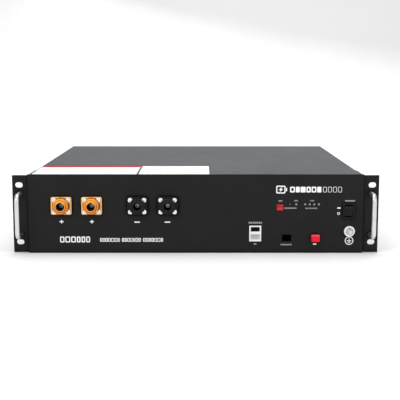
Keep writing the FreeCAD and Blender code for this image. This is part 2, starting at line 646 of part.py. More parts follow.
# ------------------------------------------------------------------ address switch, three slides
DIP_PITCH = 2.54
DIP_TRAVEL = 1.6
DIP_Y0, DIP_Y1 = 0.3, 6.2
DIP_SLOT_Z = DIP_Z - 1.7            # rest (lower) end of the slots
DIP_SLIDE_X = [DIP_X + k * DIP_PITCH for k in (-1, 0, 1)]


def dip_switch_body():
    body = rounded_xz(DIP_X, DIP_Z, DIP_W, DIP_H, 0.3, DIP_Y0, DIP_Y1)
    tools = []
    for x in DIP_SLIDE_X:
        tools.append(box(x - 0.75, x + 0.75, DIP_Y0 - 1, DIP_Y0 + 1.0,
                         DIP_SLOT_Z, DIP_SLOT_Z + 1.8 + DIP_TRAVEL))
        tools.append(box(x - 1.05, x + 1.05, DIP_Y0 + 0.9, DIP_Y0 + 3.0,
                         DIP_SLOT_Z - 0.4, DIP_SLOT_Z + 2.2 + DIP_TRAVEL))
    body = cut(body, tools)
    pins = [box_xz(x, DIP_Z + dz, 0.5, 0.3, DIP_Y1 - 0.2, BOARD_Y)
            for x in DIP_SLIDE_X for dz in (-3.2, 3.2)]
    return fuse([body] + pins)


def dip_slider(x):
    front = DIP_Y0 - 0.5
    knob = box(x - 0.65, x + 0.65, front, DIP_Y0 + 1.2, DIP_SLOT_Z + 0.1, DIP_SLOT_Z + 1.7)
    knob = fillet(knob, 0.15, lambda edge, mid: near(mid.y, front))
    foot = box(x - 0.95, x + 0.95, DIP_Y0 + 1.1, DIP_Y0 + 2.8, DIP_SLOT_Z - 0.3, DIP_SLOT_Z + 2.1)
    return fuse([knob, foot])


# ------------------------------------------------------------------ light pipes, start button
BTN_PROJ = 6.0
BTN_TRAVEL = 1.5
BTN_BACK = 3.4          # rear face of the cap and its skirt
STEM_END = 9.4
DISH_R = 26.0


def light_pipe(x):
    tip = -0.7
    rod = cyl(LED_R, (x, tip, LED_Z), BACK, 14.2)
    rod = fillet(rod, 0.65, lambda edge, mid: near(mid.y, tip))
    return fuse([rod, cyl(2.2, (x, T_PANEL + 0.05, LED_Z), BACK, 1.0)])


def start_button():
    cap = rounded_xz(BTN_X, BTN_Z, BTN_W, BTN_H, 1.1, -BTN_PROJ, BTN_BACK)
    cap = fillet(cap, 0.7, lambda edge, mid: near(mid.y, -BTN_PROJ))
    skirt = rounded_xz(BTN_X, BTN_Z, BTN_W + 2.6, BTN_H + 2.6, 1.2, T_PANEL + 0.15, BTN_BACK)
    stem = box_xz(BTN_X, BTN_Z, 3.2, 3.2, BTN_BACK - 0.1, STEM_END)
    # dished face
    dish = Part.makeSphere(DISH_R, Vector(BTN_X, -BTN_PROJ - DISH_R + 0.35, BTN_Z))
    return cut(fuse([cap, skirt, stem]), [dish])


def start_button_switch():
    body = rounded_xz(BTN_X, BTN_Z, 12.0, 12.0, 0.6, 6.6, BOARD_Y)
    return cut(body, [box_xz(BTN_X, BTN_Z, 3.5, 3.5, 6.0, STEM_END + BTN_TRAVEL + 0.4)])


# ------------------------------------------------------------------ power switch
SWITCH_W, SWITCH_H = 16.0, 21.0
BEZEL_PROJ = 2.0
SWITCH_BACK = 17.0
PIVOT_Y = 3.5
ROCKER_TILT = 12.0      # each way from the middle
ROCKER_R = 8.15
ROCKER_HALF_W = 5.35
ROCKER_CREST = PIVOT_Y - 4.6        # ridge between the rocker's two faces, drawn level


def power_switch_housing():
    bezel = rounded_xz(SWITCH_X, SWITCH_Z, SWITCH_W, SWITCH_H, 1.2, -BEZEL_PROJ, 0.0)
    bezel = fillet(bezel, 0.7, lambda edge, mid: near(mid.y, -BEZEL_PROJ))
    housing = fuse([bezel, box_xz(SWITCH_X, SWITCH_Z, 12.8, 19.0, -0.2, SWITCH_BACK)])
    housing = cut(housing, [box_xz(SWITCH_X, SWITCH_Z, 11.0, 16.8, -3, 12.0),
                            cyl(1.06, (SWITCH_X - 6.2, PIVOT_Y, SWITCH_Z), RIGHT, 12.4)])
    # barbs below and above, behind the panel
    x, y = SWITCH_X - 3, T_PANEL + 0.1
    for side in SIDES:
        root, tip = SWITCH_Z + side * 9.4, SWITCH_Z + side * 10.3
        housing = fuse([housing, prism([(x, y, root), (x, y, tip), (x, 8.0, root)], (6, 0, 0))])
    return housing


def power_switch_rocker():
    """Rocker drawn level, then tipped to its rest side (lower half pressed in)."""
    x0 = SWITCH_X - ROCKER_HALF_W
    body = cyl(ROCKER_R, (x0, PIVOT_Y, SWITCH_Z), RIGHT, 2 * ROCKER_HALF_W)
    # everything ahead of the two sloping faces
    reach = 12
    slope_y = ROCKER_CREST - reach * math.tan(math.radians(ROCKER_TILT))
    far_y = PIVOT_Y - 30
    front = prism([(x0 - 1, ROCKER_CREST, SWITCH_Z), (x0 - 1, slope_y, SWITCH_Z + reach),
                   (x0 - 1, far_y, SWITCH_Z + reach), (x0 - 1, far_y, SWITCH_Z - reach),
                   (x0 - 1, slope_y, SWITCH_Z - reach)], (2 * ROCKER_HALF_W + 2, 0, 0))
    body = cut(body, [front, box_xz(SWITCH_X, SWITCH_Z, 20, 40, PIVOT_Y + 2.2, PIVOT_Y + 20)])
    body = fillet(body, 0.5, lambda edge, mid: near(abs(mid.x - SWITCH_X), ROCKER_HALF_W)
                  and mid.y < ROCKER_CREST and abs(mid.z - SWITCH_Z) > 1)
    nib = cyl(1.6, (SWITCH_X, PIVOT_Y + 2.0, SWITCH_Z), BACK, 3.0)
    axle = cyl(1.0, (SWITCH_X - 6.1, PIVOT_Y, SWITCH_Z), RIGHT, 12.2)
    rocker = fuse([body, nib, axle])
    rocker.rotate(Vector(SWITCH_X, PIVOT_Y, SWITCH_Z), Vector(*RIGHT), ROCKER_TILT)
    return rocker


def power_switch_terminals():
    return [box_xz(SWITCH_X, SWITCH_Z + dz, 4.8, 0.8, SWITCH_BACK, SWITCH_BACK + 8)
            for dz in (-5.0, 5.0)]


# ------------------------------------------------------------------ ground terminal
GROUND_HEAD_Y = -6.6    # front face of the bolt's head


def at_ground(y):
    return (GROUND_X, y, GROUND_Z)


def ground_bolt():
    head = hexagon(9.0, at_ground(GROUND_HEAD_Y), BACK, 3.6)
    head = head.common(cone(4.1, 6.4, at_ground(GROUND_HEAD_Y), BACK, 1.4).fuse(
        cyl(6.4, at_ground(GROUND_HEAD_Y + 1.4), BACK, 3)))
    bolt = fuse([head, cyl(3.0, at_ground(-3.2), BACK, 13.0)])
    return cut(bolt, [cross_recess(4.6, 1.1, 1.6, at_ground(GROUND_HEAD_Y), BACK)])


def ground_washers():
    """Flat washer against the panel and a split spring washer in front of it."""
    thick, radius = 1.3, 7.2
    hole = cyl(3.1, at_ground(-5), BACK, 10)
    flat = cut(cyl(radius, at_ground(-thick), BACK, thick), [hole])
    flat = fillet(flat, 0.35, lambda edge, mid: near(mid.y, -thick)
                  and near(edge.Curve.Radius, radius))
    split = box(GROUND_X, GROUND_X + 8, -4, 0, GROUND_Z - 0.35, GROUND_Z + 0.35)
    return [flat, cut(cyl(5.3, at_ground(-2.95), BACK, 1.6), [hole, split])]


# ------------------------------------------------------------------ communication board
BOARD_BACK = BOARD_Y + BOARD_T


def comm_board():
    board = box(BOARD_X0, BOARD_X1, BOARD_Y, BOARD_BACK, BOARD_Z0, BOARD_Z1)
    board = cut(board, [cyl(1.6, (x, BOARD_Y - 1, z), BACK, 5) for x, z in BOARD_POSTS])
    # lamps behind the light pipes
    parts = [box_xz(x, LED_Z, 3.2, 2.8, BOARD_Y - 2.0, BOARD_Y + 0.1) for x in LED_X]
    # blocks on the rear face: x0, x1, height off the board, z0, z1
    for x0, x1, height, z0, z1 in ((96, 110, 1.4, 36, 50), (126, 136, 1.6, 38, 44),
                                   (146, 172, 9.0, 30, 36), (72, 84, 2.2, 54, 62)):
        parts.append(box(x0, x1, BOARD_BACK - 0.1, BOARD_BACK + height, z0, z1))
    return fuse([board] + parts)


# ------------------------------------------------------------------ battery management board
LUG_AXIS = 5.2                      # a lug's seating face to its barrel's centre line
BUS_T = 2.0                         # thickness of the cell bars
STACK_X = TERM_X - BUS_T            # inner face of the stack's outgoing bars
STACK_CABLE_X = STACK_X - LUG_AXIS
STACK_LUG_Y = 97.0
PAD_TOP = BMS_TOP + 5.0             # top of the board's power terminals
CABLE_Z = PAD_TOP + LUG_AXIS        # centre line of the lower cables
PAD_OUT = (-34.0, 38.0)             # terminal of the negative sockets
PAD_CELL = (-STACK_CABLE_X, 40.0)   # terminal of the cell stack
HEATSINK_Z = BMS_TOP + 4.4          # top of the transistors


def bms_board():
    board = box(BMS_X0, BMS_X1, BMS_Y0, BMS_Y1, BMS_Z, BMS_TOP)
    base = BMS_TOP - 0.1
    # blocks on the upper face: x0, x1, y0, y1, height off the board
    blocks = [(-60, -46, 60, 74, 1.6), (-62, -40, 84, 92, 9.0),
              (-199, -187, 56, 68, 10.0), (12, 24, 44, 56, 1.8)]
    blocks += [(-176 + 16.0 * k, -167 + 16.0 * k, 33.5, 37.0, 1.5) for k in range(7)]
    parts = [box(x0, x1, y0, y1, base, BMS_TOP + height) for x0, x1, y0, y1, height in blocks]
    parts += [cyl(4.0, (x, y, base), UP, 12.0) for x, y in ((-193, 78), (-63.0, 38))]
    parts += [box_xy(*pad, 14, 14, base, PAD_TOP) for pad in (PAD_OUT, PAD_CELL)]
    return cut(fuse([board] + parts),
               [cyl(1.7, (x, y, BMS_Z - 1), UP, 5) for x, y in BMS_POSTS]
               + [cyl(3.05, (*pad, BMS_TOP + 0.6), UP, 8) for pad in (PAD_OUT, PAD_CELL)])


def bms_mosfets():
    return [box_xy(-172 + 11.6 * column, 50 + 22.0 * row, 10.0, 9.2, BMS_TOP, HEATSINK_Z)
            for column in range(9) for row in (0, 1)]


def bms_heatsink():
    base = box(-182, -70, 41, 82, HEATSINK_Z, HEATSINK_Z + 4.0)
    fins = [box(-182, -70, 42 + 5.4 * k, 43.4 + 5.4 * k, HEATSINK_Z + 3.9, HEATSINK_Z + 18.0)
            for k in range(8)]
    return fuse([base] + fins)


# ------------------------------------------------------------------ fuse in the positive line
FUSE_Y = 58.0
FUSE_X = (100.0, 160.0)             # the fuse's two bolts
FUSE_TOP = CABLE_Z - LUG_AXIS       # upper face of the fuse's tabs
FUSE_TAB_T = 3.0


def fuse_holder():
    x0, x1 = FUSE_X
    base_top = T_CASE + 4.0
    base = box(x0 - 9, x1 + 9, FUSE_Y - 12, FUSE_Y + 12, T_CASE, base_top)
    blocks = [box_xy(x, FUSE_Y, 16, 18, base_top - 0.1, FUSE_TOP - FUSE_TAB_T) for x in FUSE_X]
    return cut(fuse([base] + blocks), [cyl(3.05, (x, FUSE_Y, T_CASE + 6), UP, 30) for x in FUSE_X])


def main_fuse():
    x0, x1 = FUSE_X
    mid_z = FUSE_TOP - FUSE_TAB_T / 2
    body = rounded_xy((x0 + x1) / 2, FUSE_Y, 41.0, 20.0, 4.0, mid_z - 10.0, mid_z + 10.0)
    tabs = box(x0 - 8, x1 + 8, FUSE_Y - 7, FUSE_Y + 7, FUSE_TOP - FUSE_TAB_T, FUSE_TOP)
    return cut(fuse([body, tabs]), [cyl(3.05, (x, FUSE_Y, FUSE_TOP - 8), UP, 16) for x in FUSE_X])


# ------------------------------------------------------------------ power cables, crimped lugs
CABLE_R = 4.6
LUG_T = 2.0
LUG_REACH = 22.0        # bolt centre to the cable's end, just inside the barrel
SHELF_CABLE_Z = SHELF_Z + LUG_AXIS


def lug(at, along, off_face):
    """Lug with its seating face's centre at a point and its barrel along one direction."""
    shape = fuse([cyl(6.5, (0, 0, 0), UP, LUG_T), box(0, 11.5, -5, 5, 0, LUG_T),
                  cyl(5.2, (10.5, 0, LUG_AXIS), RIGHT, 12.0)])
    shape = cut(shape, [cyl(3.05, (0, 0, -1), UP, 5)])
    a, u = Vector(*along), Vector(*off_face)
    n = u.cross(a)
    return shape.transformGeometry(FreeCAD.Matrix(a.x, n.x, u.x, at[0],
                                                  a.y, n.y, u.y, at[1],
                                                  a.z, n.z, u.z, at[2],
                                                  0, 0, 0, 1))


def power_cables():
    fuse_x0, fuse_x1 = FUSE_X
    tab_pos, tab_neg = CABLE_TAB_X
    out_x, out_y = PAD_OUT
    cell_x, cell_y = PAD_CELL
    shelf_end = CABLE_TAB_Y + LUG_REACH
    stack_end = STACK_LUG_Y - LUG_REACH
    high, low = SHELF_CABLE_Z, CABLE_Z
    sockets_to_fuse = fuse([
        lug((tab_pos, CABLE_TAB_Y, SHELF_Z), BACK, UP),
        lug((fuse_x1, FUSE_Y, FUSE_TOP), RIGHT, UP),
        bent_bar([(tab_pos, shelf_end, high), (tab_pos, 88, high), (198, 88, high),
                  (198, 88, low), (198, FUSE_Y, low), (fuse_x1 + LUG_REACH, FUSE_Y, low)],
                 CABLE_R, 7.5)])
    fuse_to_stack = fuse([
        lug((fuse_x0, FUSE_Y, FUSE_TOP), (-1, 0, 0), UP),
        lug((STACK_X, STACK_LUG_Y, low), FORWARD, (-1, 0, 0)),
        bent_bar([(fuse_x0 - LUG_REACH, FUSE_Y, low), (STACK_CABLE_X, FUSE_Y, low),
                  (STACK_CABLE_X, stack_end, low)], CABLE_R, 7.5)])
    sockets_to_board = fuse([
        lug((tab_neg, CABLE_TAB_Y, SHELF_Z), BACK, UP),
        lug((out_x, out_y, PAD_TOP), BACK, UP),
        bent_bar([(tab_neg, shelf_end, high), (tab_neg, 74, high), (out_x, 74, high),
                  (out_x, 74, low), (out_x, out_y + LUG_REACH, low)], CABLE_R, 6.2)])
    board_to_stack = fuse([
        lug((cell_x, cell_y, PAD_TOP), BACK, UP),
        lug((-STACK_X, STACK_LUG_Y, low), FORWARD, RIGHT),
        cyl(CABLE_R, (cell_x, cell_y + LUG_REACH, low), BACK, stack_end - cell_y - LUG_REACH)])
    return [sockets_to_fuse, fuse_to_stack, sockets_to_board, board_to_stack]


def power_path_bolts():
    # lug bolts: seat point, direction, shank length
    seats = [((x, CABLE_TAB_Y, SHELF_Z + LUG_T), DOWN, 9.0) for x in CABLE_TAB_X]
    seats += [((x, FUSE_Y, FUSE_TOP + LUG_T), DOWN, 12.0) for x in FUSE_X]
    seats += [((*pad, PAD_TOP + LUG_T), DOWN, 6.0) for pad in (PAD_OUT, PAD_CELL)]
    seats += [((side * (STACK_X - LUG_T), STACK_LUG_Y, CABLE_Z), (side, 0, 0), 7.0)
              for side in SIDES]
    bolts = [hex_bolt(10.0, 4.0, 2.95, length, at, direction) for at, direction, length in seats]
    # cell terminal bolts
    return bolts + [hex_bolt(8.0, 3.5, 2.45, 9.0, (side * STACK_X, y + dy, z), (side, 0, 0))
                    for side in SIDES for y in ROW_Y for z in LAYER_Z
                    for dy in (-TERM_DY, TERM_DY)]


# ------------------------------------------------------------------ cells and their bars
def battery_cell(side, y0, z0):
    cell = side_box(side, CELL_X0, CELL_X0 + CELL_L, y0, y0 + CELL_W, z0, z0 + CELL_T)
    cell = fillet(cell, 2.5, lambda edge, mid: abs(span(edge).x) > 1)
    y, z = y0 + CELL_W / 2, z0 + CELL_T / 2
    term_ys = (y - TERM_DY, y + TERM_DY)
    terminals = []
    for term_y in term_ys:
        terminals.append(side_box(side, CELL_X0 + 0.2, CELL_X0 - 1.2,
                                  term_y - 11, term_y + 11, z - 10, z + 10))
        terminals.append(cyl(7.0, (side * (CELL_X0 + 0.2), term_y, z), (-side, 0, 0), 2.4))
    cell = fuse([cell] + terminals)
    # terminal bores and the recessed burst disc
    return cut(cell, [cyl(2.5, (side * (CELL_X0 - 5), term_y, z), (side, 0, 0), 13)
                      for term_y in term_ys]
               + [cyl(6.0, (side * (CELL_X0 - 1), y, z), (side, 0, 0), 1.4)])


def flat_bar(side, y0, z0, y1, z1):
    """Bar on one column's terminal plane, joining two terminals."""
    bar = side_box(side, TERM_X, STACK_X, y0 - 8, y1 + 8, z0 - 8, z1 + 8)
    return cut(bar, [cyl(2.6, (side * (TERM_X + 2), y, z), (-side, 0, 0), 8)
                     for y, z in ((y0, z0), (y1, z1))])


def cell_busbars():
    front_row, rear_row = ROW_Y
    lower, upper = LAYER_Z
    bars = []
    for side in SIDES:
        for z in LAYER_Z:
            bars.append(flat_bar(side, front_row + TERM_DY, z, rear_row - TERM_DY, z))
        bars.append(flat_bar(side, rear_row + TERM_DY, lower, rear_row + TERM_DY, upper))
    # arched bar between the two columns, upper layer, front
    y = front_row - TERM_DY
    arch = fuse([side_box(side, TERM_X, STACK_X, y - 8, y + 8, upper - 8, upper + 17)
                 for side in SIDES]
                + [box(-TERM_X, TERM_X, y - 8, y + 8, upper + 15, upper + 17)])
    bars.append(cut(arch, [cyl(2.6, (-20, y, upper), RIGHT, 40)]))
    # outgoing bars of the stack, lower layer, front
    for side in SIDES:
        x, inward = side * (TERM_X + 2), (-side, 0, 0)
        bar = fuse([side_box(side, TERM_X, STACK_X, 108.0, y + 8, lower - 8, CABLE_Z + 8),
                    side_box(side, TERM_X, STACK_X, 89.0, 108.5, CABLE_Z - 8, CABLE_Z + 8)])
        bars.append(cut(bar, [cyl(2.6, (x, y, lower), inward, 8),
                              cyl(3.05, (x, STACK_LUG_Y, CABLE_Z), inward, 8)]))
    return bars


# ------------------------------------------------------------------ pads, end plates, hold-down
def cell_pads():
    """Pad under all the cells, open along the middle, and one pad between each two layers."""
    pads = [cut(box(-215.0, 215.0, 112.0, 392.0, T_CASE, CELL_Z[0]),
                [box(-13, 13, 120, 384, 0, 10)])]
    pads += [side_box(side, CELL_X0 + 4, CELL_X0 + CELL_L - 4, y + 3, y + CELL_W - 3,
                      CELL_Z[0] + CELL_T, CELL_Z[1])
             for side in SIDES for y in CELL_Y]
    return pads


def module_end_plates():
    plates = []
    # front face of the plate, front of its outer-side pocket tools
    for y0, pocket_y in ((114.0, 113.0), (384.0, 386.5)):
        for side in SIDES:
            plate = side_box(side, 24.0, 214.0, y0, y0 + 6.0, CELL_Z[0], CELLS_TOP)
            left = min(side * 24.0, side * 214.0)
            pockets = []
            for k in range(4):
                x = left + 12 + 44.0 * k
                for z0, z1 in ((14.0, 38.0), (44.0, 70.0)):
                    pockets.append(box(x, x + 36, pocket_y, pocket_y + 4.5, z0, z1))
            plates.append(cut(plate, pockets))
    return plates


def module_hold_down():
    """Plate over the cells with windows, turned down to feet at the front and rear."""
    plate = cut(box(-212.0, 212.0, 112.0, 392.0, CELLS_TOP, HOLD_TOP),
                [rounded_xy(0, 252, 30, 262, 4, 60, 100)]
                + [rounded_xy(x, y, 120, 60, 8, 60, 100) for x in (-118, 118) for y in (185, 319)])
    # walls, joints to the plate, feet: y0, y1, z0, z1
    sections = ((108.5, 110.0, FOOT_Z, HOLD_TOP), (108.5, 112.5, CELLS_TOP, HOLD_TOP),
                (99.0, 108.6, FOOT_Z, FOOT_TOP),
                (392.5, 394.0, FOOT_Z, HOLD_TOP), (391.5, 394.0, CELLS_TOP, HOLD_TOP),
                (393.9, 404.0, FOOT_Z, FOOT_TOP))
    legs = [side_box(side, 60.0, 212.0, *section) for side in SIDES for section in sections]
    return cut(fuse([plate] + legs),
               [cyl(2.1, (x, y, 4), UP, 5) for x, y in FEET]
               + [cyl(1.35, (x, y, CELLS_TOP - 1), UP, 4) for x, y in SENSE_SCREWS])


def cell_sense_board():
    """Board on the hold-down frame, over the gap between the cells' terminals."""
    board = cut(box(-22.0, 22.0, 122.0, 390.0, HOLD_TOP, HOLD_TOP + BOARD_T),
                [cyl(1.5, (x, y, HOLD_TOP - 1), UP, 4) for x, y in SENSE_SCREWS])
    base = HOLD_TOP + 1.5
    parts = [box(-9.0, 9.0, 130.0, 138.0, base, HOLD_TOP + 8.0),
             box(-6, 6, 160, 172, base, HOLD_TOP + 3.0)]
    parts += [box(x - 2, x + 2, y, y + 6, base, HOLD_TOP + 2.8)
              for x in (-14.0, 14.0) for y in (190.0, 230.0, 270.0, 310.0, 350.0)]
    return fuse([board] + parts)


def inner_screws():
    """Screws of the two boards, the hold-down's feet and the sense board."""
    screws = [pan_screw(2.4, 1.8, 1.2, 7.5, (x, BOARD_BACK, z), FORWARD) for x, z in BOARD_POSTS]
    screws += [pan_screw(2.8, 2.0, 1.5, 7.0, (x, y, BMS_TOP), DOWN) for x, y in BMS_POSTS]
    screws += [pan_screw(3.6, 2.4, 1.5, 4.0, (x, y, FOOT_TOP), DOWN) for x, y in FEET]
    screws += [pan_screw(2.4, 1.8, 1.25, 3.0, (x, y, HOLD_TOP + BOARD_T), DOWN)
               for x, y in SENSE_SCREWS]
    return screws


# ------------------------------------------------------------------ write the pieces
# pieces whose function carries the file's name
for build in (chassis_tray, top_cover, cover_screws, front_panel, ear_and_handle_screws,
              power_socket_screws, inner_nuts, rj45_shield, rj45_insert, data_port_dust_plug,
              console_jack, jack_contacts, dip_switch_body, start_button, start_button_switch,
              power_switch_housing, power_switch_rocker, power_switch_terminals, ground_bolt,
              ground_washers, comm_board, bms_board, bms_mosfets, bms_heatsink, output_busbars,
              fuse_holder, main_fuse, power_cables, power_path_bolts, cell_busbars, cell_pads,
              module_end_plates, module_hold_down, cell_sense_board, inner_screws):
    export(build.__name__, build())

for side, side_name in zip(SIDES, ("left", "right")):
    export("ear_bracket_" + side_name, ear_bracket(side))
    export("handle_" + side_name, handle(side))

for socket_name, x in zip(("positive_socket_1", "positive_socket_2",
                           "negative_socket_1", "negative_socket_2"), SOCKET_X):
    export(socket_name, power_socket(x))
export("power_socket_contacts", [power_socket_contact(x) for x in SOCKET_X])
export("power_socket_gaskets", [power_socket_gasket(x) for x in SOCKET_X])

for number, x in enumerate(DIP_SLIDE_X, 1):
    export("dip_slider_%d" % number, dip_slider(x))

export("alarm_light_pipe", light_pipe(LED_X[0]))
export("run_and_charge_light_pipes", [light_pipe(x) for x in LED_X[1:]])

export("top_label_wide", top_label(-147.1, 137.8))
export("top_label_square", top_label(-28.6, 93.2))

cell_places = [(side, y, z) for side in SIDES for y in CELL_Y for z in CELL_Z]
for number, place in enumerate(cell_places, 1):
    export("battery_cell_%d" % number, battery_cell(*place))
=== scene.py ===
# A rack-mounted battery module: steel case, front panel with power sockets, jacks, lights and
# switches, ear brackets with handles, and two labels on the top cover. Width runs along X, the
# front panel faces -Y and +Z is up.
import bpy
import bmesh
import math
import random
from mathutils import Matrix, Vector


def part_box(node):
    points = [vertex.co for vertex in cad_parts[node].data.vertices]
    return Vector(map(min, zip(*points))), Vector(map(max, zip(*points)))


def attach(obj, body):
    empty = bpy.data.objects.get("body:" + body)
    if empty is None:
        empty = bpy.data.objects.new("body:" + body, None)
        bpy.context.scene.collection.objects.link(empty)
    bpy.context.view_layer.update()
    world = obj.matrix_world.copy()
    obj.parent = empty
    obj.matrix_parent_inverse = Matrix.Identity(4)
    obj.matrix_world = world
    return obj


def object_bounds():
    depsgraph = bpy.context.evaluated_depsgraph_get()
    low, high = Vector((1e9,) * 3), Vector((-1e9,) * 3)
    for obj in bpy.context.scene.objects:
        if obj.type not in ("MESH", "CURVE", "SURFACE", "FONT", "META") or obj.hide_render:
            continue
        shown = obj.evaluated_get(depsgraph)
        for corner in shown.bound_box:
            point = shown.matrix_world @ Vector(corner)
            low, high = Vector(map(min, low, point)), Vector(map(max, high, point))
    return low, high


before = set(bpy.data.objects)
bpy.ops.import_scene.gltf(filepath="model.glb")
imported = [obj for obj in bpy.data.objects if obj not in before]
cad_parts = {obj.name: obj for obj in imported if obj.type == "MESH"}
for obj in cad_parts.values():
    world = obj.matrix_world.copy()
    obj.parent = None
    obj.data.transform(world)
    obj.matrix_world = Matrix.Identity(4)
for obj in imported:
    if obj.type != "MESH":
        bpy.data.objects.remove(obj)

MM = 0.001
CAD_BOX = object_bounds()


def middle(piece):
    low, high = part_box(piece)
    return (low + high) / 2


# ---------------------------------------------------------------- places read from the frame
PANEL_LOW, PANEL_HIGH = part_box("front_panel")
PANEL_Y = PANEL_LOW.y                 # outer face of the front panel
CENTRE_X = (PANEL_LOW.x + PANEL_HIGH.x) / 2
LABEL_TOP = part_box("top_label_wide")[1].z

SOCKETS = {}                          # name: centre of the socket's front end
for name in ("positive_socket_1", "positive_socket_2", "negative_socket_1", "negative_socket_2"):
    centre = middle(name)
    SOCKETS[name] = Vector((centre.x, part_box(name)[0].y, centre.z))
BORE_RADIUS = 5.3 * MM


# ---------------------------------------------------------------- shader helper
NOISE_SPAN = (0.3, 0.7)               # the range in which most noise values fall


def tone(colour, factor):
    return tuple(min(1.0, channel * factor) for channel in colour)


def grey(level):
    return (level, level, level)


class Shader:
    """A Principled material. Most methods add a node and return its output socket."""

    def __init__(self, name):
        self.material = bpy.data.materials.new(name)
        self.material.use_nodes = True
        self.tree = self.material.node_tree
        self.tree.nodes.clear()
        output = self.node("ShaderNodeOutputMaterial")
        self.principled = self.node("ShaderNodeBsdfPrincipled")
        self.put(output.inputs["Surface"], self.principled.outputs[0])
        self.position = self.node("ShaderNodeTexCoord").outputs["Object"]

    def put(self, socket, value):
        """Link a socket, or set a number or a tuple; a colour without alpha is made opaque."""
        if isinstance(value, bpy.types.NodeSocket):
            self.tree.links.new(value, socket)
            return
        if isinstance(value, tuple) and len(value) < len(socket.default_value):
            value = (*value, 1.0)
        socket.default_value = value

    def node(self, kind, inputs=None, **properties):
        node = self.tree.nodes.new(kind)
        for key, value in properties.items():
            setattr(node, key, value)
        for key, value in (inputs or {}).items():
            self.put(node.inputs[key], value)
        return node

    def set(self, **inputs):
        """Set inputs of the Principled shader; underscores stand for blanks."""
        for key, value in inputs.items():
            self.put(self.principled.inputs[key.replace("_", " ")], value)

    def noise(self, scale, detail=2.0, roughness=0.5, stretch=None):
        vector = self.position
        if stretch:
            inputs = {"Vector": vector, "Scale": stretch}
            vector = self.node("ShaderNodeMapping", inputs).outputs[0]
        inputs = {"Vector": vector, "Scale": scale, "Detail": detail, "Roughness": roughness}
        return self.node("ShaderNodeTexNoise", inputs).outputs["Fac"]

    def voronoi(self, scale):
        inputs = {"Vector": self.position, "Scale": scale}
        return self.node("ShaderNodeTexVoronoi", inputs).outputs["Distance"]

    def remap(self, value, span=NOISE_SPAN, to=(0.0, 1.0)):
        inputs = {"Value": value, "From Min": span[0], "From Max": span[1],
                  "To Min": to[0], "To Max": to[1]}
        return self.node("ShaderNodeMapRange", inputs).outputs[0]

    def math(self, operation, first, second=0.0):
        return self.node("ShaderNodeMath", {0: first, 1: second}, operation=operation).outputs[0]

    def plus(self, first, second):
        return self.math("ADD", first, second)

    def minus(self, first, second):
        return self.math("SUBTRACT", first, second)

    def times(self, first, second):
        return self.math("MULTIPLY", first, second)

    def mix(self, factor, first, second, blend="MIX"):
        inputs = {0: factor, 6: first, 7: second}
        node = self.node("ShaderNodeMix", inputs, data_type="RGBA", blend_type=blend)
        return node.outputs[2]

    def multiply(self, colour, other):
        return self.mix(1.0, colour, other, blend="MULTIPLY")

    def tint(self, colour, mask, amount, other):
        """Go from colour towards other by amount where the mask is 1."""
        return self.mix(self.times(mask, amount), colour, other)

    def mottle(self, pattern, colour, dark, light, span=NOISE_SPAN):
        """Vary a colour between two multiples of itself."""
        return self.mix(self.remap(pattern, span), tone(colour, dark), tone(colour, light))

    def bump(self, height, strength, distance, normal=None):
        inputs = {"Height": height, "Strength": strength, "Distance": distance}
        if normal is not None:
            inputs["Normal"] = normal
        return self.node("ShaderNodeBump", inputs).outputs[0]

    def bevel(self, radius):
        return self.node("ShaderNodeBevel", {"Radius": radius}, samples=4).outputs[0]

    def surface_normal(self):
        return self.node("ShaderNodeNewGeometry").outputs["Normal"]

    def edge(self, rounded):
        """0 on flats, rising to 1 on sharp edges, where the bevelled normal leans away."""
        inputs = {0: rounded, 1: self.surface_normal()}
        dot = self.node("ShaderNodeVectorMath", inputs, operation="DOT_PRODUCT")
        return self.remap(dot.outputs["Value"], (0.72, 0.97), to=(1.0, 0.0))

    def axes(self, vector):
        return self.node("ShaderNodeSeparateXYZ", {0: vector}).outputs

    def offset(self, axes, x, z):
        """X and Z distances from a line along Y, and the radius about it."""
        across = self.minus(axes["X"], x)
        above = self.minus(axes["Z"], z)
        squares = self.plus(self.times(across, across), self.times(above, above))
        return across, above, self.math("SQRT", squares)

    def occlusion(self, distance, samples=6):
        inputs = {"Distance": distance}
        return self.node("ShaderNodeAmbientOcclusion", inputs, samples=samples).outputs["AO"]


# ---------------------------------------------------------------- material families
def powder_coat(name, colour, roughness, specular, wear_amount, cloudiness,
                wear=(0.16, 0.16, 0.165), crevice_shade_reach=0.0):
    """Grain, orange peel, cloudy tone and rubbed edges; painted shade in crevices of the given
    reach.
    """
    mat = Shader(name)
    grain = mat.noise(scale=2300, detail=3.0, roughness=0.62)
    peel = mat.noise(scale=520)
    cloud = mat.noise(scale=7.0, detail=4.0, roughness=0.55)
    speck = mat.remap(mat.voronoi(scale=900), (0.0, 0.30), to=(1.0, 0.0))
    rounded = mat.bevel(radius=0.0007)
    height = mat.plus(mat.times(grain, 0.65), mat.times(peel, 0.5))
    normal = mat.bump(height, strength=0.42, distance=0.00009, normal=rounded)
    shade = mat.mottle(cloud, colour, dark=1.0 - cloudiness, light=1.0 + cloudiness,
                       span=(0.32, 0.68))
    shade = mat.tint(shade, speck, amount=0.25, other=tone(colour, 1.9))
    patches = mat.noise(scale=160, detail=3.0, roughness=0.6)
    rub = mat.times(mat.edge(rounded), mat.remap(patches, (0.40, 0.62), to=(0.25, 1.0)))
    shade = mat.tint(shade, rub, wear_amount, wear)
    smear = mat.remap(mat.noise(scale=34, detail=3.0, roughness=0.6),
                      to=(roughness - 0.05, roughness + 0.05))
    polish = mat.times(rub, -0.12)
    # painted shade: colour and reflection darken where ambient occlusion finds crevices
    if crevice_shade_reach:
        exposed = mat.remap(mat.occlusion(crevice_shade_reach, samples=8), (0.52, 0.93))
        shade = mat.mix(exposed, tone(colour, 0.12), shade)
        specular = mat.times(mat.remap(exposed, (0.0, 1.0), to=(0.15, 1.0)), specular)
    mat.set(Base_Color=shade, Roughness=mat.plus(smear, polish), Specular_IOR_Level=specular,
            Normal=normal)
    return mat.material


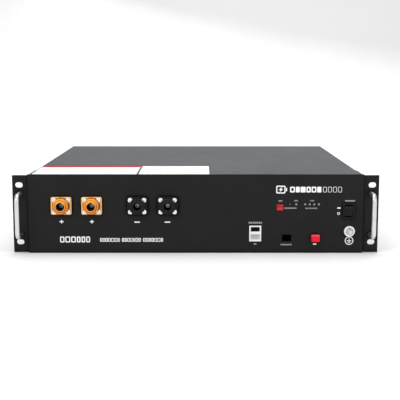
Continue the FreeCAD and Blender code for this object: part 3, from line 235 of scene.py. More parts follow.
def plastic(name, colour, roughness, specular=0.5, texture=1.0, scale=1500, pale_tone=None,
            coat=0.0, subsurface=0.0):
    """Moulded plastic: fine grain, faint flow marks, paler edges from wear, painted shade in
    corners.
    """
    mat = Shader(name)
    grain = mat.noise(scale=scale, roughness=0.55)
    flow = mat.noise(scale=60, stretch=(1.0, 1.0, 3.0))
    rounded = mat.bevel(radius=0.00025)
    normal = mat.bump(grain, strength=0.22 * texture, distance=0.00005, normal=rounded)
    shade = mat.mottle(flow, colour, dark=0.93, light=1.06)
    paler = tuple(min(1.0, channel * 1.3 + 0.03) for channel in colour)
    shade = mat.tint(shade, mat.edge(rounded), amount=0.35, other=pale_tone or paler)
    # painted shade: darker in corners that ambient occlusion finds
    exposed = mat.remap(mat.occlusion(0.003), (0.2, 1.0), to=(0.55, 1.0))
    shade = mat.multiply(shade, mat.mix(exposed, tone(colour, 0.45), grey(1.0)))
    mat.set(Base_Color=shade, Specular_IOR_Level=specular, Normal=normal,
            Roughness=mat.remap(mat.noise(scale=300), to=(roughness - 0.05, roughness + 0.06)))
    if coat:
        mat.set(Coat_Weight=coat, Coat_Roughness=0.12)
    if subsurface:
        mat.set(Subsurface_Weight=subsurface, Subsurface_Scale=0.002)
    return mat.material


def metal(name, colour, roughness, streak_scale, stretch=(1, 1, 1), variation=0.10, bump=0.10,
          tarnish=None):
    """Metal with drawn or turned streaks, smudges and slight tarnish."""
    mat = Shader(name)
    streaks = mat.noise(scale=streak_scale, detail=4.0, roughness=0.65, stretch=stretch)
    smudges = mat.noise(scale=55, detail=3.0, roughness=0.6)
    normal = mat.bump(streaks, strength=bump, distance=0.00004, normal=mat.bevel(radius=0.0003))
    shade = mat.mottle(streaks, colour, dark=0.90, light=1.06)
    shade = mat.tint(shade, mat.remap(smudges, (0.48, 0.72)), amount=0.30,
                     other=tarnish or tone(colour, 0.72))
    streaked = mat.remap(streaks, to=(roughness - variation, roughness + variation))
    mat.set(Base_Color=shade, Metallic=1.0, Normal=normal,
            Roughness=mat.plus(streaked, mat.times(smudges, 0.05)))
    return mat.material


def ink(name, colour, roughness=0.45, specular=0.35):
    """Screen-printed ink: thin, with tiny pinholes and a ragged tone."""
    mat = Shader(name)
    pinholes = mat.remap(mat.voronoi(scale=2600), (0.0, 0.12), to=(1.0, 0.0))
    shade = mat.mix(mat.noise(scale=900), tone(colour, 0.93), tone(colour, 1.04))
    shade = mat.tint(shade, pinholes, amount=0.30, other=tone(colour, 0.45))
    mat.set(Base_Color=shade, Specular_IOR_Level=specular,
            Roughness=mat.remap(mat.noise(scale=1200), to=(roughness - 0.05, roughness + 0.07)),
            Normal=mat.bump(mat.noise(scale=2200), strength=0.2, distance=0.00003))
    return mat.material


# ---------------------------------------------------------------- single materials
def ground_bolt_zinc_painted_light():
    """Painted highlight at the centre in a greyer ring, with painted shade above and painted light
    below.
    """
    mat = Shader("ground_bolt_zinc_painted_light")
    centre = middle("ground_bolt")
    # the painted highlight sits slightly off the bolt's centre
    _, above, radius = mat.offset(mat.axes(mat.position), centre.x + 0.0004, centre.z - 0.0002)
    streaks = mat.noise(scale=1100, detail=3.0, roughness=0.6)
    # painted highlight at the centre, a greyer ring around it
    shade = mat.mix(mat.remap(radius, (0.0012, 0.0036)), grey(0.86), grey(0.42))
    # painted shade on the upper part
    shade = mat.mix(mat.remap(above, (0.0010, 0.0050), to=(0.0, 0.55)), shade, grey(0.20))
    # painted light on the lower part
    shade = mat.mix(mat.remap(above, (-0.0050, -0.0020), to=(0.55, 0.0)), shade, grey(0.84))
    shade = mat.tint(shade, streaks, amount=0.18, other=grey(0.30))
    mat.set(Base_Color=shade, Metallic=1.0, Roughness=mat.remap(streaks, to=(0.26, 0.38)),
            Normal=mat.bump(streaks, strength=0.12, distance=0.00004,
                            normal=mat.bevel(radius=0.0003)))
    return mat.material


def start_button_plastic():
    """Deep red, with painted shade at left and right and along the lower rim, and a painted
    highlight along the upper rim.
    """
    mat = Shader("button_red_plastic")
    axes = mat.axes(mat.position)
    centre = middle("start_button")
    rounded = mat.bevel(radius=0.0004)
    # painted highlight along the upper rim; painted shade along the lower rim and at left and
    # right
    upper_rim_highlight = mat.remap(mat.minus(axes["Z"], centre.z), (0.0022, 0.0044))
    lower_rim_shade = mat.remap(mat.minus(axes["Z"], centre.z), (-0.0047, -0.0032), to=(1.0, 0.0))
    sideways = mat.math("ABSOLUTE", mat.minus(axes["X"], centre.x))
    side_shade = mat.remap(sideways, (0.0036, 0.0056))
    shade = mat.mix(mat.noise(scale=70), (0.70, 0.008, 0.018), (0.78, 0.014, 0.026))
    shade = mat.tint(shade, side_shade, amount=0.45, other=(0.46, 0.030, 0.036))
    shade = mat.tint(shade, lower_rim_shade, amount=0.55, other=(0.20, 0.012, 0.020))
    shade = mat.tint(shade, upper_rim_highlight, amount=0.80, other=(0.66, 0.105, 0.125))
    mat.set(Base_Color=shade, Roughness=mat.remap(mat.noise(scale=300), to=(0.42, 0.50)),
            Specular_IOR_Level=0.16, Coat_Weight=0.04, Coat_Roughness=0.2,
            Normal=mat.bump(mat.noise(scale=1500), strength=0.08, distance=0.00005,
                            normal=rounded))
    return mat.material


def label_vinyl():
    """Satin sheet with a faint texture, a slow wave and a slightly grubby tone."""
    mat = Shader("label_vinyl")
    texture = mat.noise(scale=800, detail=3.0, roughness=0.6)
    wave = mat.noise(scale=18)
    grubby = mat.remap(mat.noise(scale=30, detail=4.0, roughness=0.6), (0.35, 0.7))
    mat.set(Base_Color=mat.mix(grubby, (0.86, 0.86, 0.855), grey(0.93)),
            Roughness=mat.remap(texture, to=(0.40, 0.54)), Specular_IOR_Level=0.30,
            Normal=mat.bump(mat.plus(mat.times(texture, 0.3), wave), strength=0.25,
                            distance=0.00012))
    return mat.material


def socket_plastic(name, centre, colour, pale_tone, painted_shade, roughness, specular, coat,
                   lower_shade_tint, upper_light_tint, lip_highlight_amount):
    """Socket body with painted shade in the bore; painted shade on faces that look away from the
    front, in corners and as a ring at the nose's foot; painted light on the upper half, painted
    highlights on the flange's rim and the bore's mouth.
    """
    mat = Shader(name)
    axes = mat.axes(mat.position)
    _, above, radius = mat.offset(axes, centre.x, centre.z)
    bore_shade = mat.remap(radius, (BORE_RADIUS + 0.00002, BORE_RADIUS + 0.00012), to=(1.0, 0.0))
    grain = mat.noise(scale=1500, roughness=0.55)
    rounded = mat.bevel(radius=0.0003)
    shade = mat.mottle(mat.noise(scale=70), colour, dark=0.93, light=1.06)
    # painted light on the upper half, painted shade on the lower half
    shade = mat.mix(mat.remap(above, (-0.010, 0.010)),
                    mat.multiply(shade, lower_shade_tint), mat.multiply(shade, upper_light_tint))
    # painted shade on faces that look away from the front, least where they look up
    normal = mat.axes(mat.surface_normal())
    turned = mat.remap(mat.times(normal["Y"], -1.0), (0.72, 0.97), to=(1.0, 0.0))
    turned = mat.times(turned, mat.remap(normal["Z"], (0.15, 0.80), to=(1.0, 0.10)))
    shade = mat.tint(shade, turned, amount=0.92, other=painted_shade)
    # edges paler from wear
    shade = mat.tint(shade, mat.edge(rounded), amount=0.16, other=pale_tone)
    # painted shade in corners that ambient occlusion finds
    shade = mat.mix(mat.remap(mat.occlusion(0.005), (0.35, 0.95)), painted_shade, shade)
    # the flange lies behind the nose: a painted shadow ring, then a painted highlight on the rim
    # outside it
    flange = mat.remap(axes["Y"], (centre.y + 0.0070, centre.y + 0.0080))
    ring = mat.times(mat.remap(radius, (0.0106, 0.0114), to=(1.0, 0.0)), flange)
    shade = mat.tint(shade, ring, amount=0.9, other=painted_shade)
    rim = mat.times(mat.remap(radius, (0.0112, 0.0124)), flange)
    shade = mat.tint(shade, rim, amount=0.85, other=pale_tone)
    # painted highlight on the upper part of the bore's mouth
    lip_highlight = mat.times(mat.remap(radius, (0.0074, 0.0062)), mat.remap(above, (0.0012, 0.0052)))
    shade = mat.tint(shade, lip_highlight, lip_highlight_amount, pale_tone)
    # painted shade: the bore is filled with near-black
    mat.set(Base_Color=mat.mix(bore_shade, shade, grey(0.006)),
            Roughness=mat.remap(mat.noise(scale=300), to=(roughness - 0.05, roughness + 0.06)),
            Specular_IOR_Level=specular, Coat_Weight=coat, Coat_Roughness=0.15,
            Normal=mat.bump(grain, strength=0.16, distance=0.00005, normal=rounded))
    return mat.material


# ---------------------------------------------------------------- which piece wears what
# the dark tone, the lower and upper tints and the pale tone carry the sockets' painted shade,
# painted light and painted highlights
ORANGE = dict(colour=(0.98, 0.345, 0.016), pale_tone=(0.97, 0.56, 0.17), painted_shade=(0.20, 0.028, 0.002),
              roughness=0.36, specular=0.28, coat=0.10,
              lower_shade_tint=(0.93, 0.84, 1.6), upper_light_tint=(1.08, 1.14, 1.0), lip_highlight_amount=0.55)
BLACK = dict(colour=(0.0085, 0.0084, 0.0088), pale_tone=(0.012, 0.012, 0.0125),
             painted_shade=(0.0065, 0.0065, 0.0067), roughness=0.50, specular=0.17, coat=0.0,
             lower_shade_tint=grey(1.0), upper_light_tint=grey(1.0), lip_highlight_amount=0.0)

RUBBER = plastic("seal_black_rubber", grey(0.012), roughness=0.72, specular=0.25, texture=1.4,
                 scale=900)

LOOKS = [   # material, names of the pieces that wear it
    (powder_coat("case_powder_coat", (0.0100, 0.0097, 0.0101), roughness=0.68, specular=0.17,
                 wear_amount=0.12, cloudiness=0.08, crevice_shade_reach=0.004), "chassis_tray front_panel"),
    # black powder coat whose base colour is lifted to a grey that paints in the sheen of the top
    (powder_coat("cover_coat_painted_sheen", (0.0835, 0.0865, 0.0940), roughness=0.74, specular=0.08,
                 wear_amount=0.06, cloudiness=0.035), "top_cover"),
    (powder_coat("ear_powder_coat", (0.0096, 0.0094, 0.0098), roughness=0.66, specular=0.15,
                 wear=(0.20, 0.20, 0.21), wear_amount=0.20, cloudiness=0.10, crevice_shade_reach=0.006),
     "ear_bracket_left ear_bracket_right"),
    (metal("handle_satin_aluminium", (0.70, 0.70, 0.71), roughness=0.32, stretch=(1, 1, 0.06),
           streak_scale=900, variation=0.08, bump=0.07), "handle_left handle_right"),
    (metal("screw_black_oxide", (0.06, 0.06, 0.065), roughness=0.42, streak_scale=700,
           variation=0.08, tarnish=(0.10, 0.09, 0.085)), "cover_screws ear_and_handle_screws"),
    (metal("screw_bright_zinc", (0.90, 0.90, 0.91), roughness=0.24, streak_scale=900,
           variation=0.07, tarnish=(0.70, 0.69, 0.64)),
     "power_socket_screws inner_nuts inner_screws power_path_bolts"),
    (metal("ground_bright_zinc", (0.92, 0.92, 0.93), roughness=0.30, streak_scale=1100,
           variation=0.09, bump=0.16, tarnish=grey(0.66)), "ground_washers"),
    (ground_bolt_zinc_painted_light(), "ground_bolt"),
    # silver plating with a darkened base that paints in the shade deep in the socket bores
    (metal("contact_silver_plate_painted_shade", (0.22, 0.22, 0.225), roughness=0.20, streak_scale=1300,
           variation=0.06, tarnish=(0.60, 0.55, 0.45)),
     "power_socket_contacts power_switch_terminals"),
    (RUBBER, "power_socket_gaskets"),
    (metal("jack_tinplate", (0.88, 0.88, 0.90), roughness=0.26, stretch=(1, 0.1, 1),
           streak_scale=700, variation=0.08, tarnish=(0.66, 0.66, 0.68)), "rj45_shield"),
    (plastic("jack_grey_plastic", (0.10, 0.10, 0.108), roughness=0.5, texture=0.8),
     "rj45_insert"),
    (metal("jack_gold_wire", (0.86, 0.62, 0.24), roughness=0.22, streak_scale=1200,
           variation=0.05), "jack_contacts"),
    (plastic("console_black_plastic", (0.0008, 0.0008, 0.0009), roughness=0.62, specular=0.03,
             texture=0.6, pale_tone=(0.0012, 0.0012, 0.0013)), "console_jack"),
    (plastic("address_red_plastic", (0.62, 0.014, 0.022), roughness=0.46, specular=0.22,
             texture=0.8, pale_tone=(0.74, 0.06, 0.07)), "dip_switch_body"),
    (plastic("address_slider_plastic", (0.76, 0.06, 0.06), roughness=0.44, specular=0.25,
             texture=0.6), "dip_slider_1 dip_slider_2 dip_slider_3"),
    (plastic("dust_plug_grey_plastic", (0.42, 0.425, 0.43), roughness=0.45, texture=0.8),
     "data_port_dust_plug"),
    (plastic("alarm_lens", (0.060, 0.018, 0.022), roughness=0.30, texture=0.2, coat=0.2,
             subsurface=0.1), "alarm_light_pipe"),
    (plastic("clear_lens", (0.20, 0.215, 0.185), roughness=0.28, texture=0.2, coat=0.25,
             subsurface=0.2), "run_and_charge_light_pipes"),
    (start_button_plastic(), "start_button"),
    (plastic("switch_black_plastic", (0.0045, 0.0045, 0.0048), roughness=0.42, specular=0.18,
             texture=0.5, pale_tone=(0.014, 0.014, 0.015), coat=0.03),
     "power_switch_housing power_switch_rocker start_button_switch"),
    (plastic("board_green_mask", (0.02, 0.16, 0.07), roughness=0.35, texture=0.4, coat=0.3),
     "comm_board bms_board cell_sense_board"),
    (plastic("package_black_epoxy", grey(0.02), roughness=0.6), "bms_mosfets"),
    (metal("heatsink_extruded", (0.78, 0.79, 0.80), roughness=0.36, stretch=(0.05, 1, 1),
           streak_scale=900), "bms_heatsink"),
    (metal("bar_copper", (0.83, 0.46, 0.30), roughness=0.30, stretch=(1, 0.08, 1),
           streak_scale=600, tarnish=(0.45, 0.22, 0.14)), "output_busbars cell_busbars"),
    (plastic("fuse_pale_body", (0.74, 0.72, 0.66), roughness=0.5), "main_fuse"),
    (plastic("holder_grey_plastic", (0.16, 0.16, 0.17), roughness=0.5), "fuse_holder"),
    (plastic("cable_black_rubber", grey(0.015), roughness=0.5, texture=1.2, scale=700),
     "power_cables"),
    (plastic("cell_blue_film", (0.03, 0.14, 0.36), roughness=0.3, texture=0.3, coat=0.3),
     " ".join(f"battery_cell_{number}" for number in range(1, 9))),
    (plastic("pad_glass_fibre", (0.50, 0.53, 0.38), roughness=0.55, texture=1.5, scale=500),
     "cell_pads"),
    (metal("end_plate_milled", (0.76, 0.77, 0.78), roughness=0.30, stretch=(1, 1, 0.08),
           streak_scale=500), "module_end_plates"),
    (metal("frame_galvanised", (0.66, 0.67, 0.68), roughness=0.38, streak_scale=120,
           variation=0.12), "module_hold_down"),
    (label_vinyl(), "top_label_wide top_label_square"),
]
for name, centre in SOCKETS.items():
    if name.startswith("positive"):
        LOOKS.append((socket_plastic(name + "_orange", centre, **ORANGE), name))
    else:
        LOOKS.append((socket_plastic(name + "_black", centre, **BLACK), name))

MATERIAL_OF = {piece: material for material, pieces in LOOKS for piece in pieces.split()}
for name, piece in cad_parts.items():
    piece.data.materials.clear()
    piece.data.materials.append(MATERIAL_OF[name])

INK_WHITE = ink("print_white_ink", grey(0.90))
INK_GREY = ink("print_grey_ink", (0.27, 0.27, 0.275))
INK_SAGE = ink("print_sage_ink", (0.20, 0.225, 0.185))
INK_RED = ink("label_red_ink", (0.56, 0.022, 0.012), roughness=0.8, specular=0.02)
INK_PALE = ink("label_grey_ink", (0.36, 0.365, 0.375), roughness=0.8, specular=0.05)
INK_DARK = ink("label_dark_ink", (0.44, 0.44, 0.45), roughness=0.8, specular=0.05)
INK_FAINT = ink("label_faint_ink", (0.62, 0.62, 0.63), roughness=0.8, specular=0.05)


# ---------------------------------------------------------------- mesh helpers
def finish_mesh(name, mesh, material, smooth=False):
    bmesh.ops.recalc_face_normals(mesh, faces=mesh.faces)
    data = bpy.data.meshes.new(name)
    mesh.to_mesh(data)
    mesh.free()
    piece = bpy.data.objects.new(name, data)
    bpy.context.scene.collection.objects.link(piece)
    data.materials.append(material)
    if smooth:
        for polygon in data.polygons:
            polygon.use_smooth = True
    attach(piece, "case")


def rounded_rectangle(x, y, width, height, radius, steps=4):
    """Outline points, with each corner drawn in the given number of steps."""
    radius = min(radius, width / 2 - 1e-4, height / 2 - 1e-4)
    points = []
    for side_x, side_y, start in ((1, 1, 0), (-1, 1, 90), (-1, -1, 180), (1, -1, 270)):
        for k in range(steps + 1):
            angle = math.radians(start + 90.0 * k / steps)
            points.append((x + side_x * (width / 2 - radius) + radius * math.cos(angle),
                           y + side_y * (height / 2 - radius) + radius * math.sin(angle)))
    return points


def circle(x, y, radius, steps):
    angles = [2 * math.pi * k / steps for k in range(steps)]
    return [(x + radius * math.cos(angle), y + radius * math.sin(angle)) for angle in angles]


def on_panel(x, y, out):
    """mm right of the panel's centre line, above its lower edge and out of its face."""
    return Vector((CENTRE_X + x * MM, PANEL_Y - out * MM, PANEL_LOW.z + y * MM))


def on_label(x, y, out):
    """X and Y of the frame in mm, and mm above the labels' upper face."""
    return Vector((x * MM, y * MM, LABEL_TOP + out * MM))


def panel_place(point):
    """The x and y that on_panel takes for a point of the frame."""
    return (point.x - CENTRE_X) / MM, (point.z - PANEL_LOW.z) / MM


PANEL_INK = (-0.01, 0.06)             # lower and upper face of the ink, mm out of the surface
LABEL_INK = (-0.005, 0.035)


class Print:
    """A layer of raised ink in one mesh. All sizes and places are flat x and y in mm."""

    def __init__(self, place, depths, draw):
        self.mesh = bmesh.new()
        self.place = place
        self.depths = depths
        self.draw = draw

    def prism(self, outline, hole=None):
        """A closed prism, optionally with a hole of as many points as the outline."""
        def ring(points, depth):
            return [self.mesh.verts.new(self.place(x, y, depth)) for x, y in points]
        face = self.mesh.faces.new
        low, high = (ring(outline, depth) for depth in self.depths)
        count = len(outline)
        if hole is None:
            face(low[::-1])
            face(high)
            for i in range(count):
                j = (i + 1) % count
                face((low[i], low[j], high[j], high[i]))
            return
        hole_low, hole_high = (ring(hole, depth) for depth in self.depths)
        for i in range(count):
            j = (i + 1) % count
            face((low[i], low[j], high[j], high[i]))
            face((hole_low[j], hole_low[i], hole_high[i], hole_high[j]))
            face((high[i], high[j], hole_high[j], hole_high[i]))
            face((low[j], low[i], hole_low[i], hole_low[j]))

    def bar(self, x, y, width, height, radius):
        self.prism(rounded_rectangle(x, y, width, height, radius))

    def frame(self, x, y, width, height, wall, radius):
        hole = rounded_rectangle(x, y, width - 2 * wall, height - 2 * wall,
                                 max(0.05, radius - wall))
        self.prism(rounded_rectangle(x, y, width, height, radius), hole)

    def ring(self, x, y, outer, inner, steps):
        self.prism(circle(x, y, outer, steps), circle(x, y, inner, steps))

    def marks(self, start, end, y, height, length, gap, radius, stroke=0.0, spaces=()):
        """A line of wordless blocks of uneven length. A stroke draws the longer ones hollow;
        a wider gap follows the blocks counted in spaces."""
        x, count = start, 0
        while x < end - length * 0.5:
            width = min(length * (0.80 + 0.40 * self.draw.random()), end - x)
            if stroke and width > 2.6 * stroke:
                wall = stroke * (0.85 + 0.35 * self.draw.random())
                self.frame(x + width / 2, y, width, height, wall, radius)
            else:
                self.bar(x + width / 2, y, width, height, radius)
            x += width + gap
            count += 1
            if count in spaces:
                x += length * 0.75

    def finish(self, name, material):
        finish_mesh(name, self.mesh, material)


# ---------------------------------------------------------------- print on the front panel
PLUS_REACH = 2.7                      # half length across; the upright is a little shorter
PLUS_HALF = 0.62                      # half stroke width
PLUS_RISE = PLUS_REACH * 0.86
PLUS = [
    (-PLUS_HALF, -PLUS_RISE), (PLUS_HALF, -PLUS_RISE), (PLUS_HALF, -PLUS_HALF),
    (PLUS_REACH, -PLUS_HALF), (PLUS_REACH, PLUS_HALF), (PLUS_HALF, PLUS_HALF),
    (PLUS_HALF, PLUS_RISE), (-PLUS_HALF, PLUS_RISE), (-PLUS_HALF, PLUS_HALF),
    (-PLUS_REACH, PLUS_HALF), (-PLUS_REACH, -PLUS_HALF), (-PLUS_HALF, -PLUS_HALF),
]
# lightning bolt in the pictogram: x, y on the panel
LIGHTNING = [(112.3, 85.7), (114.9, 85.7), (109.9, 80.9), (111.5, 84.3), (109.0, 84.3),
             (113.9, 89.0)]
# stem and top bar of the earth sign: x, y from the sign's centre
EARTH_STEM = [(-0.45, 3.4), (-0.45, 0.3), (-3.0, 0.3), (-3.0, -0.6), (3.0, -0.6), (3.0, 0.3),
              (0.45, 0.3), (0.45, 3.4)]
CORNER_Y = 84.9                       # middle of the row in the upper right corner
# blocks of that row: width, whether hollow
CORNER_BLOCKS = [(6.4, True), (5.2, False), (6.6, False), (5.6, True), (6.4, True), (5.4, False)]


def print_polarity_signs(white):
    for name, centre in SOCKETS.items():
        x, y = panel_place(centre)
        if name.startswith("positive"):
            white.prism([(x - 0.3 + across, y - 21.5 + up) for across, up in PLUS])
        else:
            white.bar(x - 0.5, y - 22.1, width=7.2, height=1.5, radius=0.35)


def print_corner_row(white):
    """Pictogram, six heavy blocks and four thin frames in the upper right corner."""
    white.frame(111.9, CORNER_Y, width=12.2, height=10.4, wall=1.45, radius=1.8)
    white.bar(119.3, CORNER_Y, width=1.5, height=4.4, radius=0.4)
    white.prism(LIGHTNING)
    x = 124.0
    for width, hollow in CORNER_BLOCKS:
        if hollow:
            white.frame(x + width / 2, CORNER_Y, width, height=7.6, wall=1.75, radius=1.3)
        else:
            white.bar(x + width / 2, CORNER_Y, width, height=7.6, radius=1.3)
        x += width + 1.1
    x += 1.2
    for _ in range(4):
        white.frame(x + 2.4, CORNER_Y, width=4.8, height=7.2, wall=0.52, radius=1.2)
        x += 6.6


def print_earth_sign(white):
    """Protective-earth sign under the ground bolt."""
    x, y = panel_place(middle("ground_washers"))
    y -= 12.6
    white.ring(x, y, outer=5.6, inner=4.55, steps=40)
    white.prism([(x + across, y + up) for across, up in EARTH_STEM])
    white.bar(x, y - 1.75, width=3.9, height=0.85, radius=0.1)
    white.bar(x, y - 3.15, width=1.8, height=0.85, radius=0.1)


def print_front_panel():
    draw = random.Random(7)
    white, grey_ink, sage = (Print(on_panel, PANEL_INK, draw) for _ in range(3))
    switch_x, switch_y = panel_place(middle("power_switch_housing"))
    button_x, button_y = panel_place(middle("start_button"))

    print_polarity_signs(white)
    # two runs of hollow blocks along the lower left
    white.marks(-179.6, -136.0, 18.2, height=8.0, length=6.1, gap=1.25, radius=1.3, stroke=1.55)
    white.marks(-126.6, -43.4, 17.6, height=5.0, length=3.15, gap=0.62, radius=0.9, stroke=0.85,
                spaces=(7, 14))
    print_corner_row(white)
    print_earth_sign(white)
    # bar and ring left of the power switch, short bar under the start button
    white.bar(switch_x - 13.0, switch_y + 3.8, width=4.6, height=1.6, radius=0.5)
    white.ring(switch_x - 13.4, switch_y - 3.5, outer=1.75, inner=1.05, steps=24)
    white.bar(button_x - 0.5, button_y - 8.3, width=4.5, height=1.7, radius=0.5)
    white.finish("front_print_white", INK_WHITE)

    # over the power switch, then over and under the network jack
    grey_ink.bar(switch_x + 1.4, switch_y + 13.3, width=13.4, height=1.9, radius=0.5)
    x, y = panel_place(middle("rj45_shield"))
    grey_ink.marks(x - 8.8, x + 8.8, y + 14.6, height=2.6, length=2.2, gap=0.55, radius=0.4)
    grey_ink.bar(x - 0.1, y - 14.0, width=3.8, height=1.8, radius=0.6)
    # under the console jack
    x, _ = panel_place(middle("console_jack"))
    grey_ink.marks(x - 8.0, x + 7.9, 11.3, height=1.9, length=2.1, gap=0.35, radius=0.35)
    # over the address switch
    x, y = panel_place(middle("dip_switch_body"))
    grey_ink.marks(x - 2.0, x + 2.9, y + 8.7, height=1.9, length=1.3, gap=0.3, radius=0.3)
    # under the alarm light, over the first and the last of the clear lights
    x, y = panel_place(middle("alarm_light_pipe"))
    lights_low, lights_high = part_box("run_and_charge_light_pipes")
    first_x = panel_place(lights_low)[0] + 2.2
    last_x = panel_place(lights_high)[0] - 2.2
    grey_ink.marks(x - 7.4, x + 8.6, y - 5.1, height=1.8, length=1.9, gap=0.4, radius=0.3)
    grey_ink.marks(first_x - 2.7, first_x + 2.6, y + 4.8, height=1.7, length=1.4, gap=0.3,
                   radius=0.3)
    grey_ink.finish("front_print_grey", INK_GREY)

    # over and under the clear lights, towards their right end
    sage.marks(last_x - 11.6, last_x - 5.0, y + 4.8, height=1.8, length=1.8, gap=0.4, radius=0.3)
    sage.marks(last_x - 17.6, last_x - 2.0, y - 5.3, height=1.8, length=2.4, gap=0.4, radius=0.3)
    sage.finish("front_print_sage", INK_SAGE)


# ---------------------------------------------------------------- print on the cover labels
LINE_PITCH = 4.8                      # between the lines of marks on both labels
MARK_UP = 45.0                        # middle of the grey block above the wide label's -Y edge


def label_edges(name):
    low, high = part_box(name)
    return low.x / MM, high.x / MM, low.y / MM, high.y / MM


def print_wide_label():
    left, right, near, far = label_edges("top_label_wide")
    draw = random.Random(3)
    faint, mark, band = (Print(on_label, LABEL_INK, draw) for _ in range(3))
    band.bar((left + right) / 2, far - 7.0, (right - left) - 0.4, height=13.6, radius=1.2)
    mark.bar(left + 36.5, near + MARK_UP, width=9.0, height=6.0, radius=0.8)
    # a column of lines, leaving the grey block free
    y = far - 19.0
    for _ in range(13):
        if abs(y - near - MARK_UP) > 4.5:
            end = left + 5 + 58 * (0.72 + 0.28 * draw.random())
            faint.marks(left + 5, end, y, height=1.5, length=2.6, gap=0.7, radius=0.3)
        y -= LINE_PITCH
    # a ruled table of nine rows beside it, with two columns of marks above its eight rules
    table_left, table_right, table_near, table_far = left + 72, right - 5, near + 6, far - 18
    table_x = (table_left + table_right) / 2
    width, height = table_right - table_left, table_far - table_near
    faint.frame(table_x, (table_near + table_far) / 2, width, height, wall=0.5, radius=0.6)
    for i in range(1, 9):
        y = table_near + height * i / 9.0
        faint.bar(table_x, y, width - 1.0, height=0.35, radius=0.1)
        style = dict(height=1.4, length=2.4, gap=0.6, radius=0.3)
        faint.marks(table_left + 2, table_left + 20, y + 3.4, **style)
        end = table_left + 42 + 12 * draw.random()
        faint.marks(table_left + 28, end, y + 3.4, **style)
    faint.finish("top_label_wide_print", INK_FAINT)
    mark.finish("top_label_wide_mark", INK_PALE)
    band.finish("top_label_wide_band", INK_RED)


def print_square_label():
    left, right, near, far = label_edges("top_label_square")
    draw = random.Random(11)
    faint, stripes = (Print(on_label, LABEL_INK, draw) for _ in range(2))
    faint.bar((left + right) / 2, far - 6.5, width=64, height=3.0, radius=0.8)
    y = far - 15.0
    for _ in range(9):
        end = left + 6 + 76 * (0.7 + 0.3 * draw.random())
        faint.marks(left + 6, end, y, height=1.6, length=2.6, gap=0.7, radius=0.3)
        y -= LINE_PITCH
    # a block of upright stripes
    x = left + 10.0
    while x < right - 12:
        width = draw.choice((0.5, 0.8, 1.2))
        stripes.bar(x + width / 2, near + 14.0, width, height=13.0, radius=0.1)
        x += width + draw.choice((0.6, 0.9, 1.4))
    faint.finish("top_label_square_print", INK_FAINT)
    stripes.finish("top_label_square_stripes", INK_DARK)


# ---------------------------------------------------------------- ribbed seals in the sockets
SEAL_OUTER = 5.26                     # radii and depths in mm
SEAL_INNER = 4.96
SEAL_RIB = 4.76
SEAL_MOUTH = 5.04                     # inner radius at the front end
SEAL_FRONT, SEAL_BACK = 0.35, 5.75    # depths behind the socket's front end
SEAL_STEPS = 48


def seal_profile():
    """Radius and depth round the seal's section; three ribs on the bore side, from the back."""
    profile = [(SEAL_OUTER, SEAL_FRONT), (SEAL_OUTER, SEAL_BACK), (SEAL_INNER, SEAL_BACK)]
    depth = SEAL_BACK
    for _ in range(3):
        depth -= 0.55
        profile.append((SEAL_INNER, depth))
        depth -= 0.45
        profile += [(SEAL_RIB, depth + 0.1), (SEAL_RIB, depth - 0.1)]
        depth -= 0.35
        profile.append((SEAL_INNER, depth))
    profile.append((SEAL_MOUTH, SEAL_FRONT))
    return profile


def build_seal(name, centre):
    mesh = bmesh.new()
    profile = seal_profile()
    sections = []
    for k in range(SEAL_STEPS):
        angle = 2 * math.pi * k / SEAL_STEPS
        sections.append([mesh.verts.new((centre.x + radius * MM * math.cos(angle),
                                         centre.y + depth * MM,
                                         centre.z + radius * MM * math.sin(angle)))
                         for radius, depth in profile])
    for k in range(SEAL_STEPS):
        here, there = sections[k], sections[(k + 1) % SEAL_STEPS]
        for i in range(len(profile)):
            j = (i + 1) % len(profile)
            mesh.faces.new((here[i], here[j], there[j], there[i]))
    finish_mesh(name + "_seal", mesh, RUBBER, smooth=True)


# ---------------------------------------------------------------- studio
FLOOR_HALF_WIDTH = 5.0
FLOOR_NEAR = -3.2                     # Y of the floor's edge in front
SWEEP_START = 1.6                     # Y where the floor begins to curve up
SWEEP_RADIUS = 0.9
SWEEP_STEPS = 12
WALL_TOP = 4.0

LIGHTS = [   # name, place, target, width, height, watts
    ("top_softbox", (0.0, 0.15, 1.7), (0.0, 0.15, 0.0), 1.8, 1.4, 16),
    ("key_softbox", (-1.1, -1.5, 1.1), (0.0, 0.0, 0.0), 1.0, 1.0, 13),
    ("fill_softbox", (1.3, -1.3, 0.7), (0.0, 0.0, 0.0), 0.9, 0.9, 5.5),
    ("back_softbox", (0.4, 1.9, 1.0), (0.0, 0.3, 0.0), 2.2, 1.0, 14),
]
CAMERA_RIGHT = 0.0057                 # from the panel's centre line
CAMERA_DISTANCE = 1.1444              # in front of the panel
CAMERA_HEIGHT = 0.2470                # above the panel's lower edge
CAMERA_DOWN = 8.74                    # degrees below level


def floor_material():
    mat = Shader("floor_pale")
    cloud = mat.noise(scale=3.0, detail=3.0)
    mat.set(Base_Color=mat.mix(cloud, grey(0.86), grey(0.90)), Roughness=0.75,
            Specular_IOR_Level=0.2,
            Normal=mat.bump(mat.noise(scale=400), strength=0.05, distance=0.0005))
    return mat.material


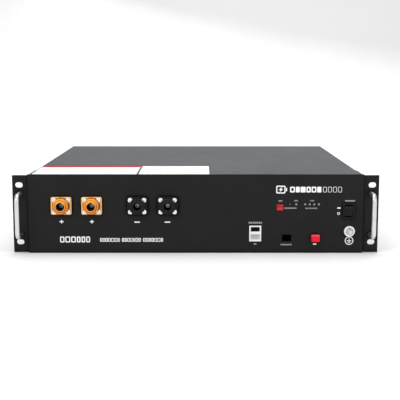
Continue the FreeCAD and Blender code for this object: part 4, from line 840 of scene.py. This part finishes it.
def build_floor():
    """A floor that curves up into a wall behind the module."""
    profile = [(FLOOR_NEAR, 0.0), (SWEEP_START, 0.0)]
    for k in range(1, SWEEP_STEPS + 1):
        angle = math.radians(90.0 * k / SWEEP_STEPS)
        profile.append((SWEEP_START + SWEEP_RADIUS * math.sin(angle),
                        SWEEP_RADIUS * (1 - math.cos(angle))))
    profile.append((SWEEP_START + SWEEP_RADIUS, WALL_TOP))
    mesh = bmesh.new()
    left, right = ([mesh.verts.new((x, y, CAD_BOX[0].z + z)) for y, z in profile]
                   for x in (-FLOOR_HALF_WIDTH, FLOOR_HALF_WIDTH))
    for i in range(len(profile) - 1):
        mesh.faces.new((left[i], right[i], right[i + 1], left[i + 1]))
    data = bpy.data.meshes.new("studio_floor")
    mesh.to_mesh(data)
    mesh.free()
    floor = bpy.data.objects.new("studio_floor", data)
    bpy.context.scene.collection.objects.link(floor)
    for polygon in data.polygons:
        polygon.use_smooth = True
    data.materials.append(floor_material())


def build_world():
    world = bpy.data.worlds.new("studio")
    bpy.context.scene.world = world
    world.use_nodes = True
    background = world.node_tree.nodes["Background"]
    background.inputs["Color"].default_value = (1.0, 1.0, 1.0, 1.0)
    background.inputs["Strength"].default_value = 0.68


def add_light(name, place, target, width, height, watts):
    data = bpy.data.lights.new(name, "AREA")
    data.energy = watts
    data.shape = "RECTANGLE"
    data.size = width
    data.size_y = height
    light = bpy.data.objects.new(name, data)
    light.location = place
    aim = Vector(target) - Vector(place)
    light.rotation_euler = aim.to_track_quat("-Z", "Y").to_euler()
    bpy.context.scene.collection.objects.link(light)


def add_camera():
    data = bpy.data.cameras.new("camera")
    data.lens = 79.2
    data.sensor_width = 36.0
    data.clip_start = 0.05
    data.clip_end = 30.0
    camera = bpy.data.objects.new("camera", data)
    camera.location = (CENTRE_X + CAMERA_RIGHT, PANEL_Y - CAMERA_DISTANCE,
                       PANEL_LOW.z + CAMERA_HEIGHT)
    camera.rotation_euler = (math.radians(90.0 - CAMERA_DOWN), 0.0, 0.0)
    bpy.context.scene.collection.objects.link(camera)
    bpy.context.scene.camera = camera


# ---------------------------------------------------------------- build
print_front_panel()
print_wide_label()
print_square_label()
for name, centre in SOCKETS.items():
    build_seal(name, centre)
build_floor()
build_world()
for light in LIGHTS:
    add_light(*light)
add_camera()

bpy.context.scene.view_settings.view_transform = "Standard"
bpy.context.view_layer.update()
